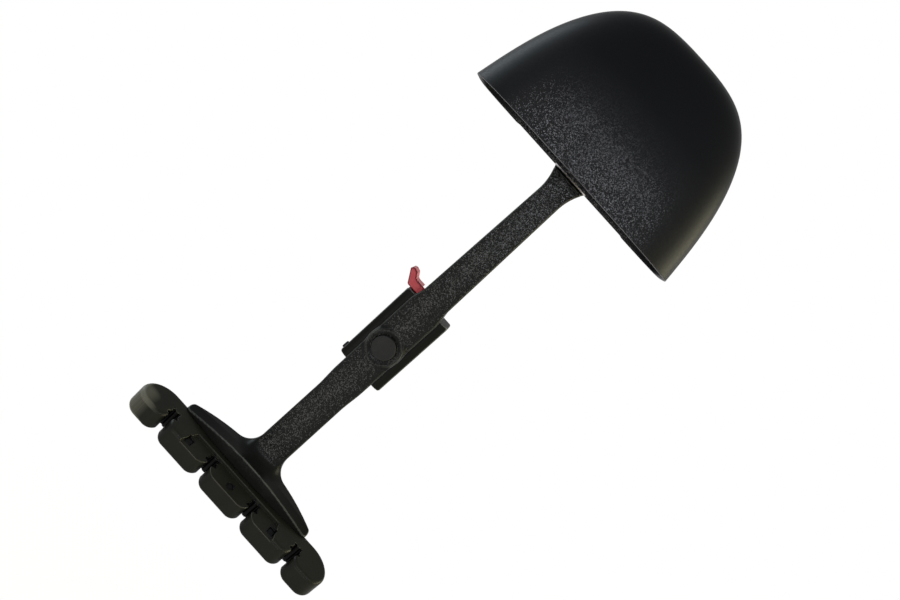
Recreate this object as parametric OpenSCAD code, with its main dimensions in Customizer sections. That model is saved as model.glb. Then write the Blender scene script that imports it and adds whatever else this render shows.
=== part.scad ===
// Bow quiver: a hood with foam, a moulded stem, a rubber arrow gripper and a quick-release bow bracket.
// The origin is the middle of the bracket's bow face. +Z runs up the stem to the hood, -Y is the front.

/* [Bow bracket] */
// Width of the bracket across both rails
bracket_w = 34; // [32:0.5:38]
// Height of the bracket
bracket_h = 59; // [56:0.5:64]
// Thickness of the plate that lies on the bow
base_t = 5; // [4.8:0.1:6]
// Depth of the dovetail groove
groove_d = 8; // [7.6:0.1:9]
// Width of the groove at its floor
groove_w = 23; // [22:0.1:23.4]
// Width of the groove at its mouth
groove_mouth = 17; // [16:0.1:18]
// Solid stop left at the groove's lower end
groove_stop = 5; // [4:0.1:7]
// Clearance of the shoe in the groove
slide_gap = 0.15; // [0.1:0.01:0.3]
// Distance between the two bow bolts
bolt_pitch = 33.3; // [32:0.1:34]
// Diameter of the bow bolt holes
bolt_d = 5.2; // [4.8:0.1:5.8]
// Diameter of the sunk seats for the bow bolt heads
bolt_seat_d = 9.6; // [9:0.1:11]
// Depth of the sunk seats
bolt_seat_t = 2.6; // [2:0.1:3]

/* [Release lever] */
// Height of the lever's pivot below the bracket's top edge
pivot_drop = 7.5; // [7:0.1:9]
// Distance of the pivot in from the rail's outer face
pivot_in = 3; // [2.9:0.05:3.2]
// Diameter of the pivot pin
pin_d = 2.5; // [2:0.1:2.8]
// Radial clearance of the lever on its pin
pin_gap = 0.04; // [0.02:0.01:0.08]
// Thickness of the lever at its hub
lever_t = 5; // [4.4:0.1:5.1]
// Width of the thumb pad, front to back
pad_t = 8.8; // [8:0.1:9]
// Height of the thumb pad
pad_h = 5.6; // [4:0.1:7]
// How far the thumb tab reaches out past the rail
tab_out = 7.2; // [5:0.1:10]
// How far the thumb tab rises above the pad
tab_rise = 4.2; // [3:0.1:6]
// Thickness of the leaf spring
leaf_t = 0.5; // [0.4:0.05:0.6]
// Width of the leaf spring
leaf_w = 4; // [3:0.1:4.6]
// Diameter of the leaf spring's screw
leaf_screw_d = 2.4; // [2:0.1:2.6]
// Diameter of that screw's head
leaf_head_d = 4.8; // [4:0.1:5.4]
// Thickness of that screw's head
leaf_head_t = 1.3; // [1:0.1:2]

/* [Stem] */
// Thickness of the stem, front to back
stem_t = 12; // [11.5:0.1:14]
// Clearance between the stem and the bracket's rails
stem_gap = 0.3; // [0.2:0.05:0.5]
// Rise of the stem's rounded front
crown = 2; // [1.5:0.1:2.5]
// Stem width below the hood
hood_end_w = 15.5; // [14:0.1:17]
// Stem width above the bracket
waist_w = 18.8; // [18:0.1:20]
// Stem width over the bracket
mount_w = 22.2; // [21:0.1:24]
// Stem width below the bracket
low_w = 20.6; // [19:0.1:21.5]
// Stem width above the foot
foot_w = 21.4; // [19:0.1:23]
// Top of the wide part over the bracket
mount_up = 28; // [26:0.5:29]
// Length of the taper above the wide part
taper_up = 11; // [8:0.5:14]
// Bottom of the wide part, below the bracket's middle
mount_down = 33; // [31:0.5:36]
// Length of the taper below the wide part
taper_down = 17; // [12:0.5:20]
// Height at which the stem starts to flare into the hood
stem_up = 124; // [100:1:150]
// Radius of that flare
flare_r = 30; // [26:1:36]
// Width of the paddle that the hood is screwed to
paddle_w = 40; // [38:0.5:44]
// Height of the paddle above its flare
paddle_h = 28.5; // [27:0.5:32]
// Thickness of the paddle
paddle_t = 5.4; // [5.2:0.1:7]

/* [Shoe joint] */
// Length of the sliding shoe
shoe_len = 50; // [46:0.5:51]
// Height of the shoe bolt, from the bracket's middle
shoe_bolt_z = -3; // [-4:0.5:0]
// Diameter of the shoe bolt
shoe_bolt_d = 6; // [5:0.1:6.2]
// Diameter of the shoe bolt's head
shoe_head_d = 10; // [9:0.1:11]
// Thickness of the shoe bolt's head
shoe_head_t = 2.4; // [2:0.1:2.6]
// Thickness of the washer under that head
bolt_washer_t = 1; // [0.8:0.1:1.2]
// Width across the flats of the shoe nut
nut_flats = 9.6; // [9:0.1:10]
// Thickness of the shoe nut
nut_t = 4.4; // [4:0.1:4.8]
// Diameter of the round cap over the bolt
cap_d = 15; // [14:0.1:16]
// Depth of the recess that the cap sits in
cap_recess = 5.6; // [5.4:0.1:6]
// How far the cap stands out of the stem
cap_proud = 0.7; // [0.3:0.1:1.5]
// Diameter of the round boss around the cap
boss_d = 23; // [22:0.1:25]
// Diameter of the two locating dowels
dowel_d = 3; // [2.5:0.1:3.5]
// Distance between the dowels
dowel_pitch = 32; // [28:0.5:34]
// Length of each dowel
dowel_len = 9; // [7:0.5:10]

/* [Hood] */
// Width of the hood at its rim
hood_w = 141; // [130:1:160]
// Height of the hood
hood_h = 81.8; // [76:0.1:96]
// Height of the rim above the start of the stem's flare
rim_up = 15.5; // [13:0.5:18]
// Reach of the rim in front of the stem's middle
hood_reach = 57; // [50:0.5:64]
// Distance of the hood's widest line in front of the stem's middle
hood_mid = 25.5; // [22:0.5:30]
// Wall thickness of the hood
hood_wall = 2.6; // [2:0.1:3]
// Share of its width that the hood loses towards the crown
hood_taper = 0.22; // [0.15:0.01:0.25]
// Rise of the rim for each millimetre towards the front
rim_slope = 0.06; // [0.02:0.01:0.08]
// Depth of the shallow cut in the back wall's rim
rim_cut = 0.4; // [0.2:0.1:1]
// Gap between the hood's back wall and the paddle
seat_gap = 0.15; // [0.1:0.01:0.25]
// Height of the foam's face above the rim
foam_up = 40; // [39:0.5:46]
// Gap around the foam
foam_gap = 0.3; // [0.2:0.05:0.4]
// Height of the lower hood screw above the rim
screw_low = 12; // [11:0.5:14]
// Height of the two upper hood screws above the rim
screw_high = 28.5; // [26:0.5:30]
// Distance between the two upper hood screws
screw_pitch = 26; // [22:0.5:28]
// Diameter of the screws into brass inserts
screw_d = 3.8; // [3:0.1:4]
// Diameter of those screws' heads
screw_head_d = 7; // [6:0.1:7.6]
// Thickness of those screws' heads
screw_head_t = 2.2; // [1.6:0.1:2.4]
// Diameter of the hood washers
washer_d = 9; // [8:0.1:10]
// Thickness of the hood washers
washer_t = 1; // [0.6:0.1:1.4]
// Depth of the flat seats faced into the hood's back wall for those washers
washer_seat = 0.3; // [0.2:0.1:0.5]
// Outer diameter of the brass inserts
insert_d = 6; // [5.4:0.1:6.4]
// Length of the brass inserts in the paddle
insert_len = 4.6; // [4:0.1:5]

/* [Foot and gripper] */
// Height at which the stem starts to widen into the foot, below the bracket's middle
stem_down = 107; // [95:0.5:120]
// Radius of the fillets beside the stem at the foot
fillet_r = 8; // [6:0.5:10]
// Drop from there to the gripper's front top edge
grip_drop = 15.7; // [15.4:0.1:18]
// Downward tilt of the gripper's faces towards the front, in degrees
rake = 12; // [8:0.5:14]
// Width of the foot's flange
flange_w = 106; // [100:1:112]
// Front of the flange, from the stem's middle
flange_front = 18.6; // [17.6:0.1:19.4]
// Back of the flange, from the stem's middle
flange_back = 2; // [0:0.1:4]
// Thickness of the flange at its middle
flange_t = 9; // [8:0.1:9.5]
// Fall of the flange from its middle to its tips
flange_fall = 5; // [4.5:0.1:6]
// Length that is cut off each pointed tip of the flange
flange_blunt = 5; // [3:0.5:7]
// Distance between neighbouring arrows
arrow_pitch = 36; // [35:0.1:37]
// Number of arrows
arrow_count = 4; // [4:4]
// Diameter of the gripping hole for an arrow's shaft
grip_d = 6.2; // [5.6:0.1:6.6]
// Reach of the star's arms from the shaft's middle
star_reach = 4.4; // [4.2:0.1:4.8]
// Width of the star's arms
arm_w = 2; // [1.6:0.1:2.2]
// Width of the slit from each star to the front
slit_w = 2.6; // [2:0.1:2.8]
// Length of the rubber
rubber_len = 157; // [152:0.5:165]
// Front of the rubber, from the stem's middle
rubber_front = 33; // [32.5:0.1:34]
// Depth of the rubber, front to back
rubber_depth = 20; // [19.4:0.1:21]
// Depth of the round front corner at each end of the rubber
end_depth = 8; // [6:0.1:9]
// Length of the oval back corner at each end of the rubber
end_len = 17; // [12:0.5:18]
// Thickness of the rubber
rubber_t = 14.5; // [13:0.1:16]
// Distance of the arrows from the rubber's front
arrow_in = 7.8; // [7.4:0.1:8.2]
// Corner radius of the lobes beside each slit
lobe_r = 5; // [3:0.1:5.6]
// Depth of the recess in the rubber's top
recess_t = 2; // [1.4:0.1:2.6]
// Thickness of the plate under the rubber
plate_t = 2.6; // [2.4:0.1:3]
// Clearance of the plate in the rubber
plate_gap = 0.2; // [0.1:0.05:0.4]
// Width of the square pegs on the plate
peg_w = 4; // [3.4:0.1:4.4]
// Distance between the two gripper screws
grip_screw_pitch = 13; // [12:0.1:14]
// Length of the brass inserts in the foot
foot_insert_len = 8; // [6:0.5:9]

/* [Hidden] */
$fn = 48;
// Segments of a wide, shallow curve
fine = 240;

// Stand-off that lets a cutting shape run clear of the face it cuts
over = 1;
// Length that reaches past the whole object
past = 600;
// Clearance of a screw or bolt in its hole, on the radius
hole_gap = 0.2;
// Radial gap between a thread and the piece it turns in
thread_gap = 0.05;

// Planes across the depth of the object, from the bow at y = 0 to the front
rail_front = -(base_t + groove_d);
stem_back = rail_front - stem_gap;
stem_mid = stem_back - stem_t / 2;
stem_front = stem_back - stem_t;
crown_r = (pow(mount_w / 2, 2) + pow(crown, 2)) / (2 * crown);

// Groove and shoe
groove_slope = (groove_w - groove_mouth) / 2 / groove_d;
groove_floor_z = -bracket_h / 2 + groove_stop;
stop_gap = 0.1;
shoe_z = groove_floor_z + stop_gap;
shoe_back = -(base_t + slide_gap);
nut_pocket = nut_t + 0.5;

// Cap recess in the stem, and the stack of bolt parts behind the cap
boss_front = stem_front - cap_proud + 0.2;
cap_front = stem_front - cap_proud;
cap_t = 2;
cap_gap = 0.15;
seat_y = stem_front + cap_recess;

// Lever's pivot and the notch it turns in
pivot_x = -bracket_w / 2 + pivot_in;
pivot_z = bracket_h / 2 - pivot_drop;
notch_gap = 0.3;
notch_front = rail_front + 3.2;
notch_back = notch_front + lever_t + 2 * notch_gap;
lever_y = (notch_front + notch_back) / 2;
cam_gap = 0.1;
pad_gap = 0.4;
pad_z = bracket_h / 2 + pad_gap;
hub_r = pin_d / 2 + 1;
neck_x = -bracket_w / 2 + leaf_t + 0.1;
leaf_in = 0.1;
leaf_end = 3.5;
leaf_foot = -bracket_h / 2 + 0.5;
leaf_tip = pivot_z + 4.5;
leaf_screw_z = -bracket_h / 2 + leaf_end;
leaf_screw_len = 4.4;
pin_blind = 1.5;

// Hood
hood_rim = stem_up + rim_up;
hood_front_n = 2.4;
hood_back_n = 6;
paddle_front = stem_back - paddle_t;
hood_back = paddle_front - seat_gap;
hood_inner = hood_back - hood_wall;
washer_back = hood_inner + washer_seat;
hood_front_semi = hood_reach - hood_mid;
hood_back_semi = hood_back - ahead(hood_mid);
hood_sides = 48;
hood_rows = 14;
crown_end = 0.93;
flare_end = acos(1 - (paddle_w - hood_end_w) / 2 / flare_r);
paddle_z = stem_up + flare_r * sin(flare_end);
paddle_top = paddle_z + paddle_h;
paddle_r = 6;
hood_screws_at = [[0, hood_rim + screw_low], [-screw_pitch / 2, hood_rim + screw_high],
    [screw_pitch / 2, hood_rim + screw_high]];

// Foot and gripper
grip_z = -(stem_down + grip_drop);
rubber_back = rubber_front - rubber_depth;
star_f = rubber_front - arrow_in;
flange_top = top_z(flange_front) + flange_t;
plan_top = -stem_down + 20;
plan_bottom = grip_z - rubber_t - 20;
foot_root = foot_w / 2 + fillet_r;
sweep_r = min(fillet_r, flange_front - stem_t / 2 - 1);
tongue_w = 30;
tongue_back = -stem_t / 2 + 1;
recess_front_w = arrow_pitch * 2 + peg_w + 3.4;
recess_back_w = arrow_pitch * 2 - 0.6;
recess_f = star_f - star_reach + 0.4;
peg_f = rubber_front - 5.3;
grip_screw_f = 2;
screw_seat = top_z(grip_screw_f) - rubber_t + plate_t / 2;
insert_up = 1;

// Y of a point that lies f in front of the stem's middle
function ahead(f) = stem_mid - f;
// Height of the gripper's tilted top plane at f in front of the stem's middle
function top_z(f) = grip_z + (rubber_front - f) * tan(rake);
// Half of the groove's width at depth d from its floor
function groove_half(d) = groove_w / 2 - d * groove_slope;
// Place between a and b
function mix(a, b, t) = a + (b - a) * t;
// Smooth step from 0 to 1
function ease(t) = t * t * (3 - 2 * t);
// Points of an arc
function arc(x, y, r, from, to, steps = 6) =
    [for (i = [0:steps]) let (a = mix(from, to, i / steps)) [x + r * cos(a), y + r * sin(a)]];
// Radius of a circle through the middle and both ends of an arch
function arch_r(half, rise) = (half * half + rise * rise) / (2 * rise);
// Points with their mirror images across x = 0, as one closed outline
function mirrored(side) = concat(side, [for (i = [len(side) - 1:-1:0]) [-side[i][0], side[i][1]]]);
// X of arrow number i
function arrow_x(i) = (i - (arrow_count - 1) / 2) * arrow_pitch;

// Cosine or sine bent towards the corners of a superellipse
function squared(c, n) = sign(c) * pow(abs(c), 2 / n);
// Share of the rim's width and front depth that is left at h, from 0 at the rim to 1 at the crown
function hood_side(h) = (1 - hood_taper * h) * pow(1 - pow(h, 3), 1 / 3.5);
// Share of the rim's back depth that is left at h: the back wall stands upright
function hood_rear(h) = pow(1 - pow(h, 8), 1 / 3);
// Share of the rim's cut at angle a: full over the middle of the back wall
function cut_at(a) = sin(a) > 0 && abs(cos(a)) < 0.2 ? 1 : 0;
// One ring of the hood at h, moved inwards by inset and raised by cut over the middle of the back wall
function hood_ring(h, inset, cut = 0) = [for (j = [0:hood_sides - 1]) let (
    a = 360 * j / hood_sides,
    n = sin(a) > 0 ? hood_back_n : hood_front_n,
    front = (hood_front_semi - inset) * hood_side(h),
    depth = sin(a) > 0 ? (hood_back_semi - inset) * hood_rear(h) : front,
    forward = -depth * squared(sin(a), n))
    [(hood_w / 2 - inset) * hood_side(h) * squared(cos(a), n),
    ahead(hood_mid + forward),
    hood_rim + h * (hood_h - inset) + (1 - h) * rim_slope * forward + cut * cut_at(a)]];
// Heights of the hood's rings from h = first up to its flat crown, closer together near the crown
function hood_levels(first, rows) =
    [for (i = [0:rows]) 1 - pow(mix(sqrt(1 - first), 1 - crown_end, i / rows), 2)];
// Triangles between two rings of n points
function band(a, b, n) = [for (j = [0:n - 1]) let (k = (j + 1) % n)
    each [[a + j, b + j, b + k], [a + j, b + k, a + k]]];

// A closed solid through a row of rings
module through_rings(rings) {
    n = len(rings[0]);
    last = len(rings) - 1;
    polyhedron(points = [for (ring = rings) each ring], faces = concat(
        [[for (j = [0:n - 1]) j]],
        [for (k = [0:last - 1]) each band(k * n, (k + 1) * n, n)],
        [[for (j = [n - 1:-1:0]) last * n + j]]));
}
// An outline seen from the front, drawn between two planes across the depth
module front_prism(front, back) {
    translate([0, back, 0]) rotate([90, 0, 0]) linear_extrude(back - front) children();
}
// An outline of depth and height, drawn across a width
module side_prism(points, width) {
    rotate([90, 0, 90]) linear_extrude(width, center = true) polygon(points);
}
// A rod along Y
module y_rod(r, front, back, front_r = undef) {
    translate([0, back, 0]) rotate([90, 0, 0])
        cylinder(h = back - front, r1 = r, r2 = is_undef(front_r) ? r : front_r);
}
// A rod along X
module x_rod(r, from, to) {
    translate([from, 0, 0]) rotate([0, 90, 0]) cylinder(h = to - from, r = r);
}
// The slab between two planes parallel to the gripper's top
module raked(from, to) {
    side_prism([[ahead(-past), top_z(-past) + from], [ahead(past), top_z(past) + from],
        [ahead(past), top_z(past) + to], [ahead(-past), top_z(-past) + to]], past);
}
// A plan outline drawn through the height of the foot
module plan_prism() {
    translate([0, 0, plan_bottom]) linear_extrude(plan_top - plan_bottom) children();
}
// Upright bore from below the foot up to a height
module foot_bore(r, top) {
    translate([0, 0, plan_bottom]) cylinder(h = top - plan_bottom, r = r);
}
// Places of the two gripper screws
module at_grip_screws() {
    for (side = [-1, 1]) translate([side * grip_screw_pitch / 2, ahead(grip_screw_f), 0]) children();
}
// Places of the three hood screws
module at_hood_screws() {
    for (p = hood_screws_at) translate([p[0], 0, p[1]]) children();
}
// Places of the two shoe dowels
module at_dowels() {
    for (side = [-1, 1]) translate([0, 0, shoe_bolt_z + side * dowel_pitch / 2]) children();
}

// Hood: a moulded dome with a flat back wall, open below, whose rim rises towards the front
module hood_shell() color("#17191c") difference() {
    through_rings(concat(
        [for (i = [hood_rows:-1:1]) hood_ring(hood_levels(0, hood_rows)[i], hood_wall)],
        [hood_ring(0, hood_wall, rim_cut), hood_ring(0, 0, rim_cut)],
        [for (i = [1:hood_rows]) hood_ring(hood_levels(0, hood_rows)[i], 0)]));
    at_hood_screws() {
        y_rod(screw_d / 2 + hole_gap, hood_inner - over, hood_back + over);
        y_rod(washer_d / 2 + hole_gap, hood_inner - washer_t, washer_back);
    }
}
// Foam block that takes the arrow points
module hood_foam() color("#3a3b3c") {
    inset = hood_wall + foam_gap;
    through_rings([for (h = hood_levels(foam_up / (hood_h - inset), 8)) hood_ring(h, inset)]);
}
// Screws from inside the hood, through its back wall into the paddle
module hood_screws() color("#8d8f92") at_hood_screws() {
    under_head = washer_back - washer_t;
    y_rod(screw_d / 2, under_head - over / 2, paddle_front + insert_len - 0.4);
    y_rod(screw_head_d / 2, under_head - screw_head_t, under_head);
}
// Washers under those screws
module hood_washers() color("#a4a6a8") at_hood_screws() difference() {
    y_rod(washer_d / 2, washer_back - washer_t, washer_back);
    y_rod(screw_d / 2 + hole_gap, washer_back - washer_t - over, washer_back + over);
}
// Threaded brass inserts in the paddle
module hood_inserts() color("#b58a3c") at_hood_screws() difference() {
    y_rod(insert_d / 2, paddle_front, paddle_front + insert_len);
    y_rod(screw_d / 2 + thread_gap, paddle_front - over, paddle_front + insert_len + over);
}

// Outline of the stem's right half from the foot up to the paddle
function stem_side() = concat(
    [[foot_root, plan_bottom]],
    [for (a = [90:-10:0]) [foot_root - fillet_r * cos(a), -stem_down - fillet_r * sin(a)]],
    [for (t = [0:0.2:1]) [mix(low_w, mount_w, ease(t)) / 2, mix(-mount_down - taper_down, -mount_down, t)]],
    [for (t = [0:0.2:1]) [mix(mount_w, waist_w, ease(t)) / 2, mount_up + taper_up * t]],
    [for (i = [0:8]) let (a = flare_end * i / 8)
        [hood_end_w / 2 + flare_r * (1 - cos(a)), stem_up + flare_r * sin(a)]],
    arc(paddle_w / 2 - paddle_r, paddle_top - paddle_r, paddle_r, 0, 90));
// Stem with its rounded front, which ends in a ledge below the hood, and the thin paddle behind the hood
module stem_bar() {
    thin_from = hood_rim - 2.4;
    thin_to = hood_rim - 1.8;
    intersection() {
        front_prism(stem_front - over, stem_back) polygon(mirrored(stem_side()));
        side_prism([[stem_back + over, plan_bottom], [stem_front - over, plan_bottom],
            [stem_front - over, thin_from], [paddle_front, thin_to],
            [paddle_front, paddle_top + over], [stem_back + over, paddle_top + over]], past);
        translate([0, stem_front + crown_r, plan_bottom]) cylinder(h = past, r = crown_r, $fn = fine);
    }
}
// Lens-shaped flange with blunt tips and an arched top
module foot_flange() {
    half = flange_w / 2;
    lens_half = half + flange_blunt;
    front_r = arch_r(lens_half, flange_front - rubber_back);
    back_r = arch_r(lens_half, rubber_back - flange_back);
    top_r = arch_r(half, flange_fall);
    intersection() {
        plan_prism() intersection() {
            translate([0, ahead(flange_front - front_r)]) circle(front_r, $fn = fine);
            translate([0, ahead(flange_back + back_r)]) circle(back_r, $fn = fine);
            translate([-half, ahead(past)]) square([flange_w, 2 * past]);
        }
        translate([0, 0, flange_top - top_r]) y_rod(top_r, ahead(past), ahead(-past), $fn = fine);
    }
}
// Hollow that sweeps the stem's front out onto the flange
module foot_sweep() {
    low = flange_top - flange_fall / 2;
    front = stem_t / 2 - crown;
    curve = arc(front + sweep_r, flange_top + sweep_r, sweep_r, 180, 270);
    side_prism(concat([for (p = curve) [ahead(p[0]), p[1]]],
        [[ahead(front + sweep_r), low], [ahead(front), low]]), foot_w * 0.8);
}
// Stem: one moulding with the paddle, the boss and the foot
module stem() color("#232422") difference() {
    union() {
        stem_bar();
        foot_flange();
        foot_sweep();
        translate([0, 0, shoe_bolt_z]) y_rod(boss_d / 2, boss_front, stem_mid);
    }
    raked(-past, 0);
    translate([0, 0, shoe_bolt_z]) {
        y_rod(cap_d / 2 + cap_gap, boss_front - over, seat_y);
        y_rod(shoe_bolt_d / 2 + hole_gap, seat_y - over, stem_back + over);
        y_rod(cap_d / 2 + 0.8, boss_front, boss_front + 1.4, boss_d / 2 - 0.9);
    }
    at_dowels() y_rod(dowel_d / 2, stem_back - dowel_len / 2, stem_back + over);
    at_hood_screws() y_rod(insert_d / 2, paddle_front - over, paddle_front + insert_len);
    at_grip_screws() foot_bore(insert_d / 2, top_z(grip_screw_f) + insert_up + foot_insert_len);
}
// Round cap that hides the shoe bolt
module bolt_cap() color("#343232") translate([0, 0, shoe_bolt_z]) difference() {
    y_rod(cap_d / 2, cap_front, seat_y);
    y_rod(cap_d / 2 - 1.1, cap_front + cap_t, seat_y + over);
}
// Bolt that holds the stem to its shoe
module shoe_bolt() color("#77797c") translate([0, 0, shoe_bolt_z]) difference() {
    under_head = seat_y - bolt_washer_t;
    union() {
        y_rod(shoe_bolt_d / 2, under_head - over, shoe_back - 0.4);
        y_rod(shoe_head_d / 2, under_head - shoe_head_t, under_head);
    }
    y_rod(shoe_bolt_d / 3, under_head - shoe_head_t - over, under_head - shoe_head_t / 3, $fn = 6);
}
// Washer under the bolt's head
module bolt_washer() color("#a4a6a8") translate([0, 0, shoe_bolt_z]) difference() {
    y_rod(shoe_head_d / 2 + 0.8, seat_y - bolt_washer_t, seat_y);
    y_rod(shoe_bolt_d / 2 + hole_gap, seat_y - bolt_washer_t - over, seat_y + over);
}
// Nut sunk in the shoe's back
module shoe_nut() color("#8d8f92") translate([0, 0, shoe_bolt_z]) difference() {
    y_rod(nut_flats / sqrt(3), shoe_back - nut_pocket, shoe_back - nut_pocket + nut_t, $fn = 6);
    y_rod(shoe_bolt_d / 2 + thread_gap, shoe_back - nut_pocket - over, shoe_back + over);
}
// Dovetail shoe on the stem's back
module slide_shoe() color("#2b2c2e") difference() {
    back_half = groove_half(slide_gap) - slide_gap;
    front_half = groove_half(-base_t - stem_back) - slide_gap;
    translate([0, 0, shoe_z]) linear_extrude(shoe_len)
        polygon(mirrored([[back_half, shoe_back], [front_half, stem_back]]));
    translate([0, 0, shoe_bolt_z]) {
        y_rod(shoe_bolt_d / 2 + hole_gap, stem_back - over, shoe_back + over);
        y_rod(nut_flats / sqrt(3) + hole_gap, shoe_back - nut_pocket, shoe_back + over, $fn = 6);
    }
    at_dowels() y_rod(dowel_d / 2, stem_back - over, stem_back + dowel_len / 2);
}
// Dowels that keep the shoe straight on the stem
module shoe_dowels() color("#a4a6a8") at_dowels()
    y_rod(dowel_d / 2, stem_back - dowel_len / 2, stem_back + dowel_len / 2);

// Bracket: a plate with two rails that hold the shoe
module bow_bracket() color("#1d1e20") difference() {
    side = bracket_w / 2;
    top = bracket_h / 2;
    chamfer = 1.5;
    translate([-side, rail_front, -top]) cube([bracket_w, -rail_front, bracket_h]);
    translate([0, 0, groove_floor_z]) linear_extrude(bracket_h)
        polygon(mirrored([[groove_half(0), -base_t], [groove_half(groove_d + over), rail_front - over]]));
    for (end = [-1, 1]) translate([0, 0, end * bolt_pitch / 2]) {
        y_rod(bolt_d / 2, -base_t - over, over);
        y_rod(bolt_seat_d / 2, -base_t - over, -base_t + bolt_seat_t);
    }
    front_prism(rail_front - over, over) polygon([[-side - over, top + over],
        [-side - over, top - chamfer - over], [-side + chamfer + over, top + over]]);
    translate([-side - over, notch_front, pivot_z - hub_r - 1])
        cube([side + over - groove_half(groove_d), notch_back - notch_front, bracket_h]);
    translate([pivot_x, 0, pivot_z]) y_rod(pin_d / 2, rail_front + pin_blind, over);
    translate([-side - over, lever_y - leaf_w / 2 - leaf_in, -top - over])
        cube([leaf_t + over, leaf_w + 2 * leaf_in, pivot_z + top]);
    translate([0, lever_y, leaf_screw_z])
        x_rod(leaf_screw_d / 2 + thread_gap, -side - over, -side + leaf_t + leaf_screw_len);
}
// Thumb pad of the lever: the part above the bracket, bent up at its outer end
module lever_pad(inner_x) {
    outer = -bracket_w / 2;
    pad_top = pad_z + pad_h;
    tab_top = pad_top + tab_rise;
    tab_x = outer - tab_out;
    polygon([[inner_x, pad_z], [outer - 1.4, pad_z], [outer - 2.2, pad_z + 0.5],
        [tab_x, tab_top - 1.8], [tab_x + 0.5, tab_top - 0.5], [tab_x + 2, tab_top],
        [outer - 2.6, tab_top - 0.8], [outer - 0.4, pad_top + 0.4], [outer + 1, pad_top],
        [inner_x, pad_top]]);
}
// Red release lever with its cam
module release_lever() color("#c84649") difference() {
    cam_r = hub_r - 0.4;
    cam_x = -(groove_half(slide_gap) - slide_gap + cam_gap) - cam_r;
    hub_front = lever_y - lever_t / 2;
    hub_back = lever_y + lever_t / 2;
    inner_x = -groove_half(0) - cam_gap;
    lip_x = -groove_half(groove_d * 0.65) - cam_gap;
    lip_back = -base_t - groove_d * 0.65;
    pad_front = rail_front + 0.8;
    union() {
        translate([pivot_x, 0, pivot_z]) y_rod(hub_r, hub_front, hub_back);
        translate([cam_x, 0, pivot_z]) y_rod(cam_r, hub_front, hub_back);
        front_prism(hub_front, hub_back) polygon([[neck_x, pivot_z], [inner_x, pivot_z + 1],
            [inner_x, pad_z + over], [neck_x, pad_z + over]]);
        front_prism(pad_front, pad_front + pad_t) lever_pad(inner_x);
        front_prism(pad_front, lip_back) lever_pad(lip_x);
    }
    translate([pivot_x, 0, pivot_z]) y_rod(pin_d / 2 + pin_gap, hub_front - over, hub_back + over);
}
// Pivot pin, pressed in from the bow side
module lever_pin() color("#a4a6a8") translate([pivot_x, 0, pivot_z])
    y_rod(pin_d / 2, rail_front + pin_blind, -0.4);
// Leaf spring that closes the lever: its tip presses the lever's neck above the pivot
module lever_spring() color("#6f7276") difference() {
    outer = -bracket_w / 2;
    translate([outer, lever_y - leaf_w / 2, leaf_foot]) cube([leaf_t, leaf_w, leaf_tip - leaf_foot]);
    translate([0, lever_y, leaf_screw_z])
        x_rod(leaf_screw_d / 2 + hole_gap, outer - over, outer + leaf_t + over);
}
// Screw that holds the leaf spring
module spring_screw() color("#2a2b2c") translate([0, lever_y, leaf_screw_z]) {
    under_head = -bracket_w / 2;
    x_rod(leaf_screw_d / 2, under_head - over / 2, under_head + leaf_t + leaf_screw_len - 0.3);
    x_rod(leaf_head_d / 2, under_head - leaf_head_t, under_head);
}

// Plan of the rubber bar: each end is a quarter oval at the front and a longer one at the back
module rubber_plan() {
    front_len = end_depth * 1.1;
    back_depth = rubber_depth - end_depth;
    side_y = ahead(rubber_front - end_depth);
    side_x = rubber_len / 2;
    front = [for (a = [-90:10:0])
        [side_x - front_len + front_len * cos(a), side_y + end_depth * sin(a)]];
    back = [for (a = [10:10:90])
        [side_x - end_len + end_len * cos(a), side_y + back_depth * sin(a)]];
    polygon(mirrored(concat(front, back)));
    translate([-tongue_w / 2, ahead(rubber_back + over)])
        square([tongue_w, rubber_back - tongue_back + over]);
}
// Slit from an arrow's hole to the front, with round corners on the lobes beside it
module slit_plan() {
    half = slit_w / 2;
    side = concat([[half, ahead(star_f)]],
        arc(half + lobe_r, ahead(rubber_front) + lobe_r, lobe_r, 180, 270),
        [[half + lobe_r, ahead(rubber_front) - over]]);
    polygon(mirrored(side));
}
// Star that grips an arrow's shaft: a round hole with four arms, the slit being the fifth
module star_plan() {
    half = arm_w / 2;
    circle(grip_d / 2);
    for (k = [1:4]) rotate(-90 + 72 * k)
        polygon(concat([[0, half], [0, -half]], arc(star_reach - half, 0, half, -90, 90)));
}
// Plan of the plate under the rubber, with one tab for each inner lobe
module plate_plan(grow) {
    cross_f = star_f - star_reach - 1.5;
    cross_w = 2 * arrow_pitch + 12;
    root_w = grip_screw_pitch + 12;
    back_f = tongue_back + 2;
    translate([-root_w / 2 - grow, ahead(cross_f) - grow])
        square([root_w + 2 * grow, cross_f - back_f + 2 * grow]);
    translate([-cross_w / 2 - grow, ahead(cross_f) - grow])
        square([cross_w + 2 * grow, cross_f - rubber_back - 0.5 + 2 * grow]);
    for (k = [-1:1]) translate([k * arrow_pitch - 6 - grow, ahead(peg_f + 3) - grow])
        square([12 + 2 * grow, peg_f + 3 - cross_f + 1 + 2 * grow]);
}
// Plan of the three pegs on the plate
module peg_plan(grow) {
    for (side = [-1, 1]) translate([side * arrow_pitch, ahead(peg_f)])
        square(peg_w + 2 * grow, center = true);
    translate([0, ahead(peg_f)]) circle(peg_w / 2 + grow);
}
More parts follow.
